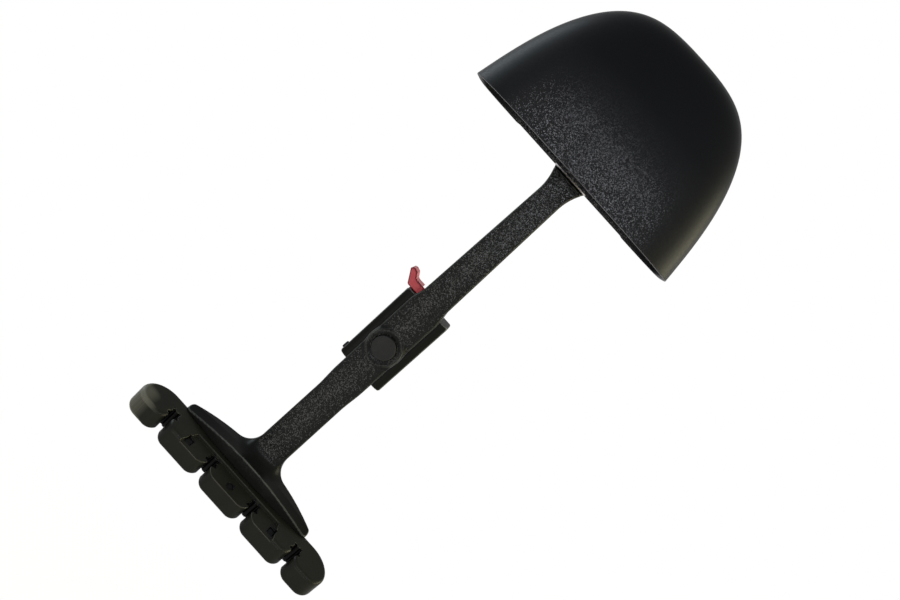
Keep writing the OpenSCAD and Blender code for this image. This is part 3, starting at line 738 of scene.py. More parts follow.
@dataclass
class Hood:
    """Moulded dome and its foam."""

    rim: float = 139.5
    width: float = 141.0
    height: float = 81.4
    wall: float = 2.6
    front: float = 31.5
    back: float = 25.95
    middle_y: float = -44.8
    taper: float = 0.22
    slope: float = 0.06
    front_power: float = 2.4
    back_power: float = 6.0
    cut: float = 0.4
    cut_half: float = 41.0
    cut_fade: float = 5.0
    stem_half: float = 12.5
    edge: float = 0.45
    inner_edge: float = 0.8
    foam_face: float = 179.5
    foam_gap: float = 0.3
    foam_edge: float = 3.0
    foam_crown: float = 1.2
    pore: float = 0.16
    # Share of the painted highlight on the rim's outer edge
    rim_highlight: float = 0.37
    steps: int = 400
    outer_rows: int = 84
    inner_rows: int = 56
    edge_rows: int = 6
    foam_rows: int = 30
    face_rows: int = 45

    def angles(self) -> Array:
        """Angles round the rim at equal distances along it."""
        dense = np.linspace(0, 2 * np.pi, 40001)
        rim = self.ring(np.zeros(1), np.zeros(1), dense)[0]
        return evenly(rim, dense, np.arange(self.steps) / self.steps)

    def ring(self, h: Array, inset: Array, angle: Array) -> Array:
        """Points of the dome at shares h of its height, moved inwards by inset.

        A ring is a superellipse, squarer at the back than at the front. Its width and front depth shrink as
        (1 - taper h)(1 - h^3)^(1/3.5) and its back depth as (1 - h^8)^(1/3), so the back wall stands upright.
        The rim rises towards the front, less and less up to the crown, and has a shallow cut in its back.

        Args:
            h: Height shares, 0 at the rim and 1 at the crown.
            inset: Distances inwards from the outer face.
            angle: Angles round the ring.

        Returns:
            Array of rows by angles by three.
        """
        h, inset = h[:, None], inset[:, None]
        cosine, sine = np.cos(angle)[None], np.sin(angle)[None]
        behind = sine > 0
        power = np.where(behind, 2 / self.back_power, 2 / self.front_power)
        side = self.narrowing(h)
        rear = np.maximum(1 - h**8, 0) ** (1 / 3)
        depth = np.where(behind, (self.back - inset) * rear, (self.front - inset) * side)
        forward = -depth * np.sign(sine) * np.abs(sine) ** power
        x = (self.width / 2 - inset) * side * np.sign(cosine) * np.abs(cosine) ** power
        raised = self.cut * self.over_cut(x) * behind * ease(1 - h * self.height / self.cut_fade)
        z = self.rim + h * (self.height - inset) + (1 - h) * self.slope * forward + raised
        return np.stack(np.broadcast_arrays(x, self.middle_y - forward, z), -1)

    def narrowing(self, h: Array) -> Array:
        """Share of the rim's width that is left at a height share."""
        return (1 - self.taper * h) * np.maximum(1 - h**3, 0) ** (1 / 3.5)

    def over_cut(self, x: Array) -> Array:
        """Share of the rim's cut at a place across the back wall."""
        return ease((self.cut_half + 1 - np.abs(x)) / 1.5)

    def levels(self, first: float, rows: int) -> Array:
        """Height shares from first to the crown, at equal distances along the side's curve.

        Args:
            first: Lowest share.
            rows: Number of rows.

        Returns:
            Height shares that end at 1.
        """
        dense = 1 - np.linspace((1 - first) ** 0.25, 0, 4001) ** 4
        path = np.stack([self.width / 2 * self.narrowing(dense), dense * self.height], -1)
        return evenly(path, dense, np.linspace(0, 1, rows))

    def build_shell(self) -> Piece:
        """Builds the dome as one grid: inner face, flat rim with two round edges, outer face.

        The outer edge gets a faint painted highlight all round, the inner one a full one behind the stem.

        Returns:
            The shell.
        """
        angle = self.angles()
        r, soft = self.edge, self.inner_edge
        outer = self.levels(r / self.height, self.outer_rows)
        inner = self.levels(soft / (self.height - self.wall), self.inner_rows)
        turn = np.linspace(0, np.pi / 2, self.edge_rows)
        inner_edge = np.stack([self.wall - soft + soft * np.cos(turn), soft - soft * np.sin(turn)])[:, 1:]
        outer_edge = np.stack([r - r * np.sin(turn), r - r * np.cos(turn)])[:, :-1]
        inset, lift = np.concatenate([inner_edge, outer_edge], 1)
        h = np.concatenate([inner[::-1], lift / (self.height - inset), outer])
        insets = np.concatenate([np.full(len(inner), self.wall), inset, np.zeros(len(outer))])
        rings = self.ring(h, insets, angle)
        # Painted highlight: full on the inner lip behind the stem, faint on the outer edge all round
        painted_light = np.zeros(rings.shape[:2])
        lip = slice(len(inner), len(inner) + inner_edge.shape[1])
        painted_light[lip] = ease(self.stem_half - np.abs(rings[lip, :, 0])) * (np.sin(angle) > 0)
        painted_light[lip.stop + 1 : lip.stop + outer_edge.shape[1] - 1] = self.rim_highlight
        points, faces = through_rings(rings)
        return surface("hood_dome", points, faces, painted_light=np.concatenate([[0], painted_light[1:-1].ravel(), [0]]))

    def build_foam(self) -> Piece:
        """Builds the foam block: a crowned, pitted face with a round edge, and sides along the hood's wall.

        Returns:
            The foam.
        """
        angle = self.angles()
        inset = self.wall + self.foam_gap
        edge = self.foam_edge
        base = (self.foam_face - self.rim) / (self.height - inset)
        sides = self.levels(base + edge / self.height, self.foam_rows)
        wall = self.ring(sides, np.full(len(sides), inset), angle)
        turn = np.linspace(np.pi / 2, 0, self.edge_rows + 1)[:-1]
        rim_h = base + edge * (1 - np.sin(turn)) / self.height
        lip = self.ring(rim_h, inset + edge * (1 - np.cos(turn)), angle)
        share = np.linspace(0, 1, self.face_rows + 1)[:-1, None, None]
        centre = np.array([0, self.middle_y, self.foam_face])
        face = centre + (lip[:1] - centre) * share
        pores = np.random.default_rng(7).normal(0, self.pore, face.shape[:2])
        pores[0] = pores[0, 0]
        face[..., 2] += pores - self.foam_crown * (1 - share[..., 0] ** 2)
        points, faces = through_rings(np.concatenate([face, lip, wall]))
        return surface("foam_block", points, faces)

    def build(self) -> None:
        """Builds and places the hood's pieces."""
        settle(self.build_shell(), Body.QUIVER, Slot.HOOD, HOOD_ABS, "hood_shell")
        foam = settle(self.build_foam(), Body.QUIVER, Slot.FOAM, FOAM, "hood_foam")


@dataclass
class Screw:
    """Socket screw with a rounded head and a cut thread."""

    head_r: float
    head_t: float
    shank_r: float
    length: float
    socket: float
    pitch: float = 0.8
    thread: float = 0.28
    chamfer: float = 0.15

    def rows(self) -> Array:
        """Rings from the thread's tip to the socket's floor; height 0 is under the head.

        The thread is a radius that falls and rises once per pitch, shifted by the angle, so that it winds up.

        Returns:
            Array of rows by steps by radius and height.
        """
        angle = np.linspace(0, 2 * np.pi, TURN_STEPS, endpoint=False)
        flat = np.zeros_like(angle)
        hexagon = self.socket / 2 / np.cos((angle + np.pi / 6) % (np.pi / 3) - np.pi / 6)
        depth = self.head_t * 0.6
        round_r = min(self.head_t * 0.45, self.head_r * 0.3)
        z = np.arange(-self.length + 0.8, -0.4, self.pitch / 8)[:, None]
        wave = np.abs(((z / self.pitch - angle / (2 * np.pi)) % 1) * 2 - 1)
        fade = ease((-0.4 - z) / 1.2) * ease((z + self.length) / 1.6)
        thread = np.stack([self.shank_r - self.thread * wave * fade, np.broadcast_to(z, wave.shape)], -1)
        turn = np.linspace(0, np.pi / 2, 7)[:, None]
        radius = self.head_r - round_r * (1 - np.cos(turn)) + flat
        height = self.head_t - round_r * (1 - np.sin(turn)) + flat
        crown = np.stack([radius, height], -1)
        top, inner = self.head_t, hexagon
        ends = [
            [(flat, -self.length)],
            [(flat + self.shank_r - 0.6, -self.length), (flat + self.shank_r - 0.1, -self.length + 0.6)],
            [(flat + self.shank_r, 0), (flat + self.head_r - 0.2, 0), (flat + self.head_r, 0.2)],
            [(inner + self.chamfer, top), (inner, top - self.chamfer), (inner, top - depth)],
            [(flat, top - depth)],
        ]
        tip, shoulder, seat, wall, floor = [
            np.stack([np.stack([r, flat + h], -1) for r, h in part]) for part in ends
        ]
        return np.concatenate([tip, shoulder, thread, seat, crown, wall, floor])


class Moulding(ABC):
    """A moulded piece, whose surface is where its distance field is zero."""

    @abstractmethod
    def field(self, x: Array, y: Array, z: Array) -> Array:
        """Distance to the piece.

        Args:
            x: Places across.
            y: Places from front to back.
            z: Heights.

        Returns:
            Distances, negative inside.
        """

    @abstractmethod
    def build(self) -> None:
        """Builds and places the piece."""


@dataclass
class Stem(Moulding):
    """Moulded stem with its paddle, boss and foot, and the cap in the boss."""

    half_t: float = 6.0
    half_w: float = 11.1
    crown: float = 2.0
    ledge_z: float = 137.4
    paddle_z: float = 176.7
    flare: float = 30.0
    bolt_z: float = -3.0
    boss_r: float = 11.5
    boss_f: float = 6.15
    dish_r: float = 8.3
    dish_f: float = 5.4
    rake: float = 12.0
    grip_z: float = -122.7
    rubber_front: float = 33.0
    flange_half: float = 53.0
    flange_front: float = 18.6
    flange_back: float = 2.0
    flange_height: float = 9.0
    cell: float = 0.6

    def top_z(self, f: Array) -> Array:
        """Height of the gripper's tilted top plane at f in front of the stem's middle."""
        return self.grip_z + (self.rubber_front - f) * math.tan(math.radians(self.rake))

    def half_width(self, z: Array) -> tuple[Array, Array]:
        """Half of the stem's width and its slope at height z.

        Straight tapers between the foot, the wide part over the bracket, the waist and the hood, joined by
        smooth steps, and a round flare into the paddle.

        Args:
            z: Heights.

        Returns:
            Half widths and their slopes.
        """
        turn = np.linspace(0, 0.939, 13)
        steps = np.linspace(0, 1, 9)
        # Heights and half widths of the foot, the two smooth steps, the flare and the paddle
        parts = [
            ([-150, -107], [10.7, 10.7]),
            (-50 + 17 * steps, 10.3 + 0.8 * ease(steps)),
            (28 + 11 * steps, self.half_w - 1.7 * ease(steps)),
            (124 + self.flare * np.sin(turn), 7.75 + self.flare * (1 - np.cos(turn))),
            ([200], [20]),
        ]
        heights, widths = [np.concatenate(rows) for rows in zip(*parts)]
        half = np.interp(z, heights, widths)
        return half, (np.interp(z + 0.5, heights, widths) - np.interp(z - 0.5, heights, widths))

    def bar(self, x: Array, f: Array, z: Array) -> Array:
        """Distance to the bar: side curve, crowned front that ends in a ledge below the hood, flat back.

        Args:
            x: Places across.
            f: Places in front of the stem's middle.
            z: Heights.

        Returns:
            Distances, negative in the bar.
        """
        half, slope = self.half_width(z)
        side = (np.abs(x) - half) / np.hypot(1, slope)
        side = round_cut(side, z - self.paddle_z, 6.0)
        r = arc_radius(self.half_w, self.crown)
        front = np.hypot(x, f - self.half_t + r) - r
        front = smooth_cut(front, np.minimum(f + 0.6, z - self.ledge_z), 0.6)
        return round_cut(round_cut(side, front, 1.0), -f - self.half_t, 0.7)

    def flange(self, x: Array, f: Array, z: Array) -> Array:
        """Distance to the foot's flange: a lens between two circles with blunt tips, and an arched top.

        The top dips towards the front, more and more towards the tips.

        Args:
            x: Places across.
            f: Places in front of the stem's middle.
            z: Heights.

        Returns:
            Distances, negative in the flange.
        """
        chord, front, back = 58.0, self.flange_front, self.flange_back
        front_r, back_r = arc_radius(chord, 3.0), arc_radius(chord, 10.3)
        ahead_of = np.hypot(x, f - front + front_r) - front_r
        behind = np.hypot(x, f - back - back_r) - back_r
        lens = round_cut(round_cut(ahead_of, behind, 1.3), np.abs(x) - self.flange_half, 2.2)
        top = self.top_z(front) + self.flange_height
        top_r = arc_radius(self.flange_half, 5.0)
        dip = 0.42 * np.maximum(f - 10.6, 0) * (x / self.flange_half) ** 2
        arch = np.hypot(x, z + dip - top + top_r) - top_r
        # The ridge's small round takes the painted highlight of the edge colour
        return round_cut(lens, arch, 0.8)

    def field(self, x: Array, y: Array, z: Array) -> Array:
        """Distance to the stem: bar, flange and boss with fillets, less the cap's dish and the holes."""
        f = ahead(y)
        body = smooth_join(self.bar(x, f, z), self.flange(x, f, z), 12.0)
        rho = np.hypot(x, z - self.bolt_z)
        boss = round_cut(round_cut(rho - self.boss_r, f - self.boss_f, 1.6), -f, 0.5)
        body = smooth_join(body, boss, 2.5)
        body = round_cut(body, (self.top_z(f) - z) * math.cos(math.radians(self.rake)), 0.4)
        # Run of the dish's side for each millimetre of its depth, and the slant length
        run, slant = 2.6, 2.786
        dish = np.maximum((rho - self.dish_r - (f - self.dish_f) * run) / slant, self.dish_f - f)
        seat = np.maximum(rho - 7.65, 0.4 - f)
        body = round_cut(round_cut(body, -dish, 1.2), -seat, 0.3)
        foot_z = self.top_z(FOOT_SCREW_F) + 9
        holes = [np.maximum(rho - 3.2, f - 2)]
        holes += [np.maximum(np.hypot(x, z - self.bolt_z - d) - 1.5, f + 1.5) for d in (-16, 16)]
        holes += [np.maximum(np.hypot(x - a, z - b) - 3.0, -f - 5.2) for a, b in HOOD_SCREWS]
        holes += [np.maximum(np.hypot(x - a, f - FOOT_SCREW_F) - 3.0, z - foot_z) for a in FOOT_SCREWS]
        for hole in holes:
            body = np.maximum(body, -hole)
        return body

    def shade(self, x: Array, y: Array, z: Array) -> Array:
        """Share of a place in the cap's dish or against the rubber, where edges get no painted highlight."""
        dish = ease(10.6 - np.hypot(x, z - self.bolt_z)) * ease(ahead(y))
        return np.maximum(dish, ease((self.top_z(ahead(y)) + 1.1 - z) / 0.4))

    def build_cap(self) -> Piece:
        """Builds the round cap: a slightly hollow face, a round edge and a skirt, turned about the bolt.

        Returns:
            The cap.
        """
        turn = np.linspace(0, np.pi / 2, 8)
        profile = np.concatenate(
            [
                [(0, 4.7), (6.4, 4.7), (6.4, 0.4), (7.5, 0.4), (7.5, 5.6)],
                np.stack([7.0 + 0.5 * np.cos(turn), 6.2 + 0.5 * np.sin(turn)], -1),
                [(6.2, 6.66), (5.6, 6.5), (3.0, 6.45), (0, 6.45)],
            ]
        )
        rows = np.repeat(profile[:, None], TURN_STEPS, 1)
        return turned("boss_cap", rows, Facing.FRONT, [(0, STEM_MID, self.bolt_z)])

    def build(self) -> None:
        """Builds and places the stem and its cap."""
        low, high = (-54.6, -39.65, -124.65), (54.6, -12.4, 178.2)
        piece = skin("stem_moulding", self.field, low, high, self.cell, depth=self.shade)
        settle(piece, Body.QUIVER, Slot.STEM, STEM_NYLON, "stem")
        settle(self.build_cap(), Body.QUIVER, Slot.CAP, CAP_PLASTIC, "bolt_cap")


@dataclass
class Gripper(Moulding):
    """Rubber bar that holds the arrow shafts, modelled with its tilt taken out and put back at the end."""

    stem: Stem
    length: float = 157.0
    depth: float = 20.0
    thick: float = 14.5
    pitch: float = 36.0
    star_f: float = 25.2
    hole_r: float = 3.1
    star_reach: float = 4.4
    arm: float = 1.0
    slit: float = 1.3
    slit_round: float = 7.0
    peg_f: float = 27.7
    peg_half: float = 2.2
    # Strength of the painted sheen on the left end's lobes
    painted_sheen: float = 0.56
    recess_f: float = 21.2
    recess_half: float = 35.7
    recess_flare: float = 4.0
    cell: float = 0.45

    def outline(self) -> Array:
        """Plan of the bar in x and f, with a tongue that reaches back under the stem.

        Each end is a short quarter oval in front and a longer one behind.

        Returns:
            Corners of the outline.
        """
        front = self.stem.rubber_front
        a = np.linspace(-np.pi / 2, 0, 13)
        b = np.linspace(0, np.pi / 2, 13)[1:]
        side = self.length / 2
        nose_x, nose_f, tail_x, tail_f, tongue_x = 8.8, 8.0, 17.0, 12.0, 15.0
        nose = np.stack([side - nose_x + nose_x * np.cos(a), front - nose_f - nose_f * np.sin(a)], -1)
        tail = np.stack([side - tail_x + tail_x * np.cos(b), front - nose_f - tail_f * np.sin(b)], -1)
        tongue = np.array([[tongue_x, front - self.depth], [tongue_x, -5.0]])
        right = np.concatenate([nose, tail, tongue])
        return np.concatenate([right, right[::-1] * (-1, 1)])

    def sides(self, x: Array, f: Array) -> Array:
        """Distance to the bar's plan with its slits, which meet the front in round corners."""
        body = outline_distance(self.outline(), x, f)
        return round_cut(body, -np.maximum(self.aside(x) - self.slit, self.star_f - f), self.slit_round)

    def aside(self, x: Array) -> Array:
        """Distance across from the nearest arrow."""
        return np.abs(np.abs(np.abs(x) - self.pitch) - self.pitch / 2)

    def star(self, x: Array, f: Array) -> Array:
        """Distance to the plan of the nearest star: a round hole with four rounded arms.

        Args:
            x: Places across.
            f: Places in front of the stem's middle.

        Returns:
            Distances, negative in the star.
        """
        near, away = self.aside(x), f - self.star_f
        star = np.hypot(near, away) - self.hole_r
        for turn in (0.4 * np.pi, 0.8 * np.pi):
            u = near * math.sin(turn) + away * math.cos(turn)
            v = near * math.cos(turn) - away * math.sin(turn)
            past = np.maximum(np.abs(u - self.star_reach / 2 + 0.5) - self.star_reach / 2 + 0.5, 0)
            star = np.minimum(star, np.hypot(past, v) - self.arm)
        return star

    def holes(self, x: Array, f: Array) -> Array:
        """Distance to the plan of the stars, the windows of the pegs and the holes of the screws.

        Args:
            x: Places across.
            f: Places in front of the stem's middle.

        Returns:
            Distances, negative in a hole.
        """
        window = box_distance(np.abs(x), f, (self.pitch, self.peg_f), (self.peg_half, self.peg_half))
        peg = np.hypot(x, f - self.peg_f) - self.peg_half
        screw = np.hypot(np.abs(x) - FOOT_SCREWS[1], f - FOOT_SCREW_F) - 2.1
        return np.minimum(np.minimum(self.star(x, f), window), np.minimum(peg, screw))

    def shade(self, x: Array, y: Array, z: Array) -> Array:
        """Painted shade in the stars, windows and slits, less a painted sheen on the left end.

        Args:
            x: Places across.
            y: Places from front to back.
            z: Heights.

        Returns:
            Shares, negative where the bloom lies.
        """
        f = ahead(y)
        inside = np.minimum(self.holes(x, f), np.maximum(self.aside(x) - self.slit - 0.3, self.star_f - f))
        deep = ease((0.6 - inside) / 0.4) * ease((self.stem.top_z(ahead(0.0)) - 0.3 - z) / 1.2)
        return deep - self.painted_sheen * ease((-x - 50) / 24) * ease((f - 14) / 12)

    def pocket(self, x: Array, f: Array) -> Array:
        """Distance to the plan of the pocket for the plate: a root, a cross bar and three tabs.

        Args:
            x: Places across.
            f: Places in front of the stem's middle.

        Returns:
            Distances, negative in the pocket.
        """
        root = box_distance(x, f, (0, 8.15), (12.7, 11.35))
        cross = box_distance(x, f, (0, 16.4), (42.2, 3.1))
        tabs = box_distance(np.abs(np.abs(x) - self.pitch / 2), f, (self.pitch / 2, 24.3), (6.2, 6.6))
        return np.minimum(np.minimum(root, cross), tabs)

    def field(self, x: Array, y: Array, z: Array) -> Array:
        """Distance to the untilted rubber: round-edged plan and thickness, less the recess and the pocket."""
        f = ahead(y)
        z = z - self.stem.top_z(ahead(0.0))
        body = round_cut(round_cut(self.sides(x, f), z, 2.0), -z - self.thick, 2.5)
        along = (f - self.recess_f) / (self.stem.rubber_front - self.recess_f)
        half = self.recess_half + self.recess_flare * along
        recess = np.maximum(np.maximum(np.abs(x) - half, self.recess_f - f), -2.0 - z)
        body = round_cut(body, -recess, 0.5)
        body = round_cut(body, -self.holes(x, f), 0.3)
        return np.maximum(body, -np.maximum(self.pocket(x, f), z + self.thick - 2.6))

    def build(self) -> None:
        """Builds and places the rubber."""
        half = self.length / 2 + 0.8
        level = self.stem.top_z(ahead(0.0))
        low, high = (-half, -53.2, level - 15.2), (half, -13.2, level + 0.7)
        rake = math.tan(math.radians(self.stem.rake))
        piece = skin("gripper_bar", self.field, low, high, self.cell, rake, self.shade)
        settle(piece, Body.QUIVER, Slot.RUBBER, RUBBER, "arrow_gripper")


@dataclass
class Lever(Moulding):
    """Red release lever: a hub with a cam, a neck and a thumb pad with a bent tab."""

    hub_r: float = 2.25
    hub_half: float = 2.5
    hole_r: float = 1.29
    cam_x: float = -13.24
    cam_r: float = 1.85
    pad_low: float = 29.9
    pad_high: float = 35.5
    pad_end: float = -11.6
    lip_end: float = -9.65
    cell: float = 0.2

    def pad(self, inner: float) -> Array:
        """Front outline of the pad and its tab.

        Args:
            inner: X of the pad's inner end.

        Returns:
            Corners of the outline.
        """
        tab = [(-19.2, 30.4), (-24.2, 37.9), (-23.7, 39.2), (-22.2, 39.7), (-19.6, 38.9), (-17.4, 35.9)]
        below = [(inner, self.pad_low), (-18.4, self.pad_low)]
        above = [(-16.0, self.pad_high), (inner, self.pad_high)]
        return np.array(below + tab + above)

    def field(self, x: Array, y: Array, z: Array) -> Array:
        """Distance to the lever: pad, lip, neck, hub and cam with small fillets, less the pin's hole."""
        rho = np.hypot(x - PIVOT[0], z - PIVOT[1])
        cam = np.hypot(x - self.cam_x, z - PIVOT[1]) - self.cam_r
        hub = np.minimum(rho - self.hub_r, cam)
        corners = [(-16.4, 22.0), (self.pad_end, 23.0), (self.pad_end, 31.0), (-16.4, 31.0)]
        neck = outline_distance(np.array(corners), x, z)
        core = round_cut(np.minimum(hub, neck), np.abs(y - RAIL_MID) - self.hub_half, 0.3)
        pad = round_cut(outline_distance(self.pad(self.pad_end), x, z), np.abs(y + 7.8) - 4.4, 1.0)
        lip = round_cut(outline_distance(self.pad(self.lip_end), x, z), np.abs(y + 11.2) - 1.0, 0.7)
        body = smooth_join(smooth_join(core, pad, 0.5), lip, 0.5)
        return np.maximum(body, self.hole_r - rho)

    def build(self) -> None:
        """Builds and places the lever."""
        piece = skin("thumb_lever", self.field, (-25.05, -13.06, 18.95), (-9, -2.6, 40.4), self.cell)
        settle(piece, Body.LEVER, Slot.LEVER, LEVER_RED, "release_lever")


@dataclass
class Bracket(Moulding):
    """Moulded bracket: a plate with two rails, a dovetail groove closed below, and a notch for the lever."""

    half_w: float = 17.0
    half_h: float = 29.5
    depth: float = 13.0
    plate: float = 5.0
    rail_x: float = 13.4
    rail_slope: float = 0.35
    groove: float = 11.5
    undercut: float = 0.375
    stop_z: float = -24.5
    bolt_z: float = 16.65
    cell: float = 0.38

    def field(self, x: Array, y: Array, z: Array) -> Array:
        """Distance to the bracket: a block with sloped rails, less its groove, notch, slot and holes."""
        face = round_cut(np.abs(x) - self.half_w, np.abs(z) - self.half_h, 1.5)
        face = np.maximum(face, (z - x - self.half_w - self.half_h + 1.5) / math.sqrt(2))
        front = -self.depth - y
        side = (self.rail_slope * (np.abs(x) - self.rail_x) + front) / math.hypot(self.rail_slope, 1)
        body = round_cut(round_cut(face, smooth_cut(front, side, 0.4), 0.7), y, 0.4)
        deep = -self.plate - y
        dovetail = (np.abs(x) - self.groove + self.undercut * deep) / math.hypot(self.undercut, 1)
        body = round_cut(body, -np.maximum(np.maximum(dovetail, -deep), self.stop_z - z), 0.35)
        bolt = np.hypot(x, np.abs(z) - self.bolt_z)
        aside = np.abs(y - RAIL_MID)
        lever = np.maximum(np.maximum(x + 8.5, aside - 2.8), 18.75 - z)
        leaf = np.maximum(np.maximum(x + 16.5, aside - 2.1), z - 21)
        pin = np.maximum(np.hypot(x - PIVOT[0], z - PIVOT[1]) - 1.25, -11.5 - y)
        screw = np.maximum(np.hypot(y - RAIL_MID, z - SPRING_SCREW_Z) - 1.25, x + 12.1)
        for hole in (bolt - 2.6, np.maximum(bolt - 4.8, y + 2.4), lever, leaf, pin, screw):
            body = round_cut(body, -hole, 0.12)
        return body

    def build(self) -> None:
        """Builds and places the bracket."""
        piece = skin("rail_bracket", self.field, (-17.6, -13.6, -30.1), (17.6, 0.6, 30.1), self.cell)
        settle(piece, Body.BRACKET, Slot.BRACKET, BRACKET_PLASTIC, "bow_bracket")


@dataclass
class Hardware:
    """Screws, the leaf spring, and CAD pieces that keep their shape and get soft edges."""

    nodes: dict

    def build_screws(self) -> None:
        """Builds and places the hood, gripper and spring screws."""
        hood = Screw(head_r=3.5, head_t=2.2, shank_r=1.9, length=7.65, socket=3.0)
        places = [(x, -22.15, z) for x, z in HOOD_SCREWS]
        piece = turned("hood_socket_screws", hood.rows(), Facing.FRONT, places)
        settle(piece, Body.QUIVER, Slot.STEEL, STEEL, "hood_screws")
        foot = replace(hood, length=21.2)
        seat = Stem().top_z(FOOT_SCREW_F) - 13.2
        places = [(x, STEM_MID - FOOT_SCREW_F, seat) for x in FOOT_SCREWS]
        piece = turned("foot_socket_screws", foot.rows(), Facing.DOWN, places)
        settle(piece, Body.QUIVER, Slot.STEEL, STEEL, "gripper_screws")
        leaf = Screw(head_r=2.4, head_t=1.3, shank_r=1.2, length=4.6, socket=2.0, pitch=0.5)
        piece = turned("leaf_screw", leaf.rows(), Facing.LEFT, [(-17.0, RAIL_MID, SPRING_SCREW_Z)])
        settle(piece, Body.BRACKET, Slot.BLACK_STEEL, BLACK_STEEL, "spring_screw")

    def leaf(self, x: Array, y: Array, z: Array) -> Array:
        """Distance to the leaf spring: a thin strip with round corners and a hole for its screw.

        Args:
            x: Places across.
            y: Places from front to back.
            z: Heights.

        Returns:
            Distances, negative in the spring.
        """
        plan = round_cut(np.abs(y - RAIL_MID) - 2.0, np.abs(z + 1.25) - 27.75, 1.0)
        plan = np.maximum(plan, 1.4 - np.hypot(y - RAIL_MID, z - SPRING_SCREW_Z))
        return round_cut(plan, np.abs(x - SPRING_X) - 0.25, 0.08)

    def build_spring(self) -> None:
        """Builds the leaf spring as one flat strip and bakes it in place, on no body."""
        piece = skin("leaf_strip", self.leaf, (-17.2, -9.2, -29.2), (-16.3, -4.8, 26.7), 0.15)
        dress(piece, SPRING_STEEL)
        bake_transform(piece)
        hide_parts("lever_spring")
        LOG.info("%s: %d points", piece.name, len(piece.data.vertices))

    def soften(self, node: str, finish: Finish, edge: float) -> None:
        """Keeps a CAD piece and rounds its edges.

        Args:
            node: Name of the CAD node.
            finish: Its finish.
            edge: Radius of the edges.
        """
        piece = self.nodes[node]
        dress(piece, finish)
        turn = math.radians(35)
        edges = {"width": edge * MM, "segments": 3, "limit_method": "ANGLE", "angle_limit": turn}
        for kind, values in (
            ("WELD", {"merge_threshold": 1e-6}),
            ("DECIMATE", {"decimate_type": "DISSOLVE", "angle_limit": math.radians(0.5)}),
            ("BEVEL", edges),
            ("WEIGHTED_NORMAL", {"keep_sharp": True}),
        ):
            modifier = piece.modifiers.new(kind.lower(), kind)
            for key, value in values.items():
                setattr(modifier, key, value)
        piece.data.shade_smooth()
        LOG.info("%s kept with %.2f mm edges", node, edge)

    def build(self) -> None:
        """Builds the screws and softens the kept pieces."""
        self.build_screws()
        self.build_spring()
        for finish, edge, nodes in (
            (ACETAL, 0.3, ("slide_shoe", "gripper_plate")),
            (STEEL, 0.2, ("lever_pin", "shoe_bolt", "shoe_nut", "shoe_dowels")),
            (STEEL, 0.15, ("hood_washers", "bolt_washer")),
            (BRASS, 0.1, ("hood_inserts", "gripper_inserts")),
        ):
            for node in nodes:
                self.soften(node, finish, edge)


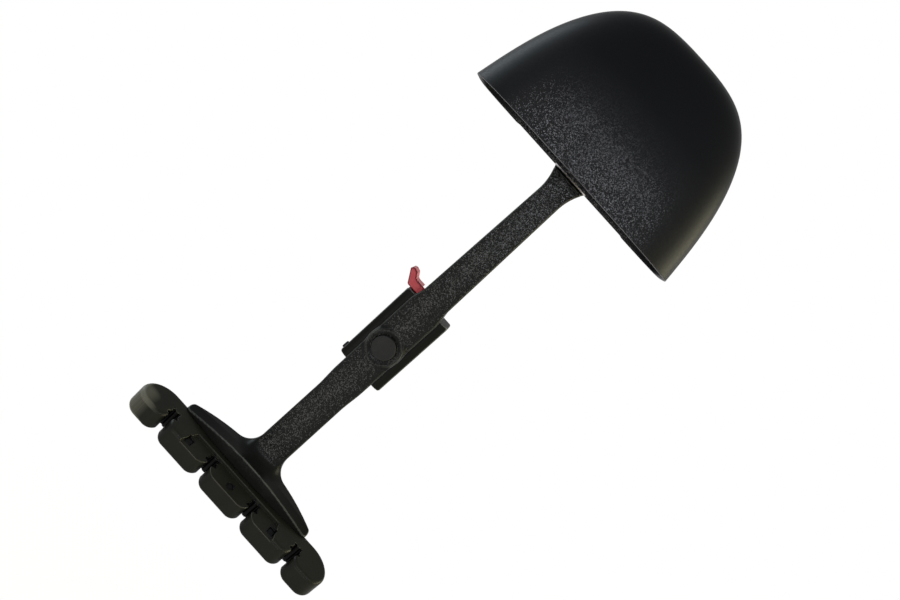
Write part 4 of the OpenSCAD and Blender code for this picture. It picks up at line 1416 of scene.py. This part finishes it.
@dataclass
class Studio:
    """Camera, floor, background and lamps."""

    lens: float = 28.8
    sensor: float = 36.0
    eye: tuple[float, float, float] = (5.0, -419.3, 141.1)
    tilt: float = 13.62
    roll: float = 48.0
    aim: tuple[float, float, float] = (0, -30, 40)
    ambient: float = 0.22
    floor_z: float = -600.0
    floor_half: float = 6000.0
    shadow_reach: float = 450.0
    shadow_least: float = 0.8

    def build_camera(self) -> None:
        """Places the camera: it looks along +Y, tilted down, and is rolled about its own axis."""
        tilt, roll = math.radians(self.tilt), math.radians(self.roll)
        level = Vector((1, 0, 0))
        rise = Vector((0, math.sin(tilt), math.cos(tilt)))
        right = level * math.cos(roll) + rise * math.sin(roll)
        up = rise * math.cos(roll) - level * math.sin(roll)
        made = bpy.data.cameras.new("camera")
        made.lens = self.lens
        made.sensor_width = self.sensor
        made.clip_start = 0.01
        camera = placed("camera", made)
        turn = Matrix((right, up, right.cross(up))).transposed().to_4x4()
        camera.matrix_world = Matrix.Translation(Vector(self.eye) * MM) @ turn
        bpy.context.scene.camera = camera

    def seen(self, tree: Tree) -> Socket:
        """Share of rays that show the plain white ground: camera, glossy and transmission rays.

        Args:
            tree: Node tree to add to.

        Returns:
            Socket that is 1 for those rays.
        """
        path = add_node(tree, "LightPath").node.outputs
        most = path["Is Camera Ray"]
        for other in ("Is Glossy Ray", "Is Transmission Ray"):
            most = add_node(tree, "Math", {0: most, 1: path[other]}, operation="MAXIMUM")
        return most

    def build_ground(self) -> None:
        """Makes the white surroundings and a pale floor well below the object."""
        world = bpy.data.worlds.new("white_room")
        bpy.context.scene.world = world
        tree = bare_tree(world)
        strength = add_node(tree, "MapRange", {0: self.seen(tree), 3: self.ambient, 4: 1.0})
        light = add_node(tree, "Background", {0: (1, 1, 1, 1), 1: strength})
        add_node(tree, "OutputWorld", {0: light})
        side = np.array([[-1, -1, 0], [1, -1, 0], [1, 1, 0], [-1, 1, 0]]) * self.floor_half
        floor = surface("floor", side + (0, 0, self.floor_z), np.array([[0, 1, 2, 3]]))
        made = bpy.data.materials.new("white_paper")
        tree = bare_tree(made)
        paper = add_node(tree, "BsdfDiffuse", {0: linear("#F4F4F2")})
        glow = add_node(tree, "Emission", {0: (1, 1, 1, 1), 1: 1.0})
        place = add_node(tree, "TexCoord", output="Object")
        foot = (0, 0, self.floor_z * MM)
        away = add_node(tree, "VectorMath", {0: place, 1: foot}, "Value", operation="DISTANCE")
        reach = {2: self.shadow_reach * MM, 3: self.shadow_least, 4: 1.0}
        clear = add_node(tree, "MapRange", {0: away, **reach})
        share = add_node(tree, "Math", {0: self.seen(tree), 1: clear}, operation="MULTIPLY")
        mixed = add_node(tree, "MixShader", {0: share, 1: paper, 2: glow})
        add_node(tree, "OutputMaterial", {0: mixed})
        floor.data.materials.append(made)

    def build_lamp(
        self, name: str, place: Sequence[float], size: tuple[float, float], watts: float, colour: str
    ) -> None:
        """Adds one soft upright lamp that faces the object's middle.

        Args:
            name: Name of the lamp.
            place: Its place in millimetres.
            size: Its width and height in millimetres.
            watts: Its power.
            colour: Its colour.
        """
        made = bpy.data.lights.new(name, "AREA")
        made.shape = "RECTANGLE"
        made.size = size[0] * MM
        made.size_y = size[1] * MM
        made.energy = watts
        made.color = linear(colour)[:3]
        lamp = placed(name, made)
        lamp.location = Vector(place) * MM
        lamp.rotation_mode = "QUATERNION"
        lamp.rotation_quaternion = (Vector(self.aim) - Vector(place)).to_track_quat("-Z", "Y")

    def build(self) -> None:
        """Builds the whole studio."""
        self.build_camera()
        self.build_ground()
        self.build_lamp("edge_left", (-930, 185, 285), (420, 800), 12, "#E2F0F6")
        self.build_lamp("edge_right", (930, 130, 320), (580, 560), 13, "#F6F0CC")
        self.build_lamp("low_right", (850, -240, 20), (300, 220), 4.4, "#F0E4B4")
        self.build_lamp("low_front", (-60, -650, -250), (500, 160), 1.75, "#FFFCF4")
        self.build_lamp("near_camera", (30, -500, 190), (600, 50), 1.6, "#F4F6FF")
        bpy.context.scene.view_settings.view_transform = "Standard"


def main() -> None:
    """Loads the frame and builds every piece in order."""
    logging.basicConfig(level=logging.INFO, format="%(name)s: %(message)s")
    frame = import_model()
    Studio().build()
    Hood().build()
    stem = Stem()
    stem.build()
    Gripper(stem).build()
    Bracket().build()
    Lever().build()
    Hardware(frame["nodes"]).build()


if __name__ == "__main__":
    main()
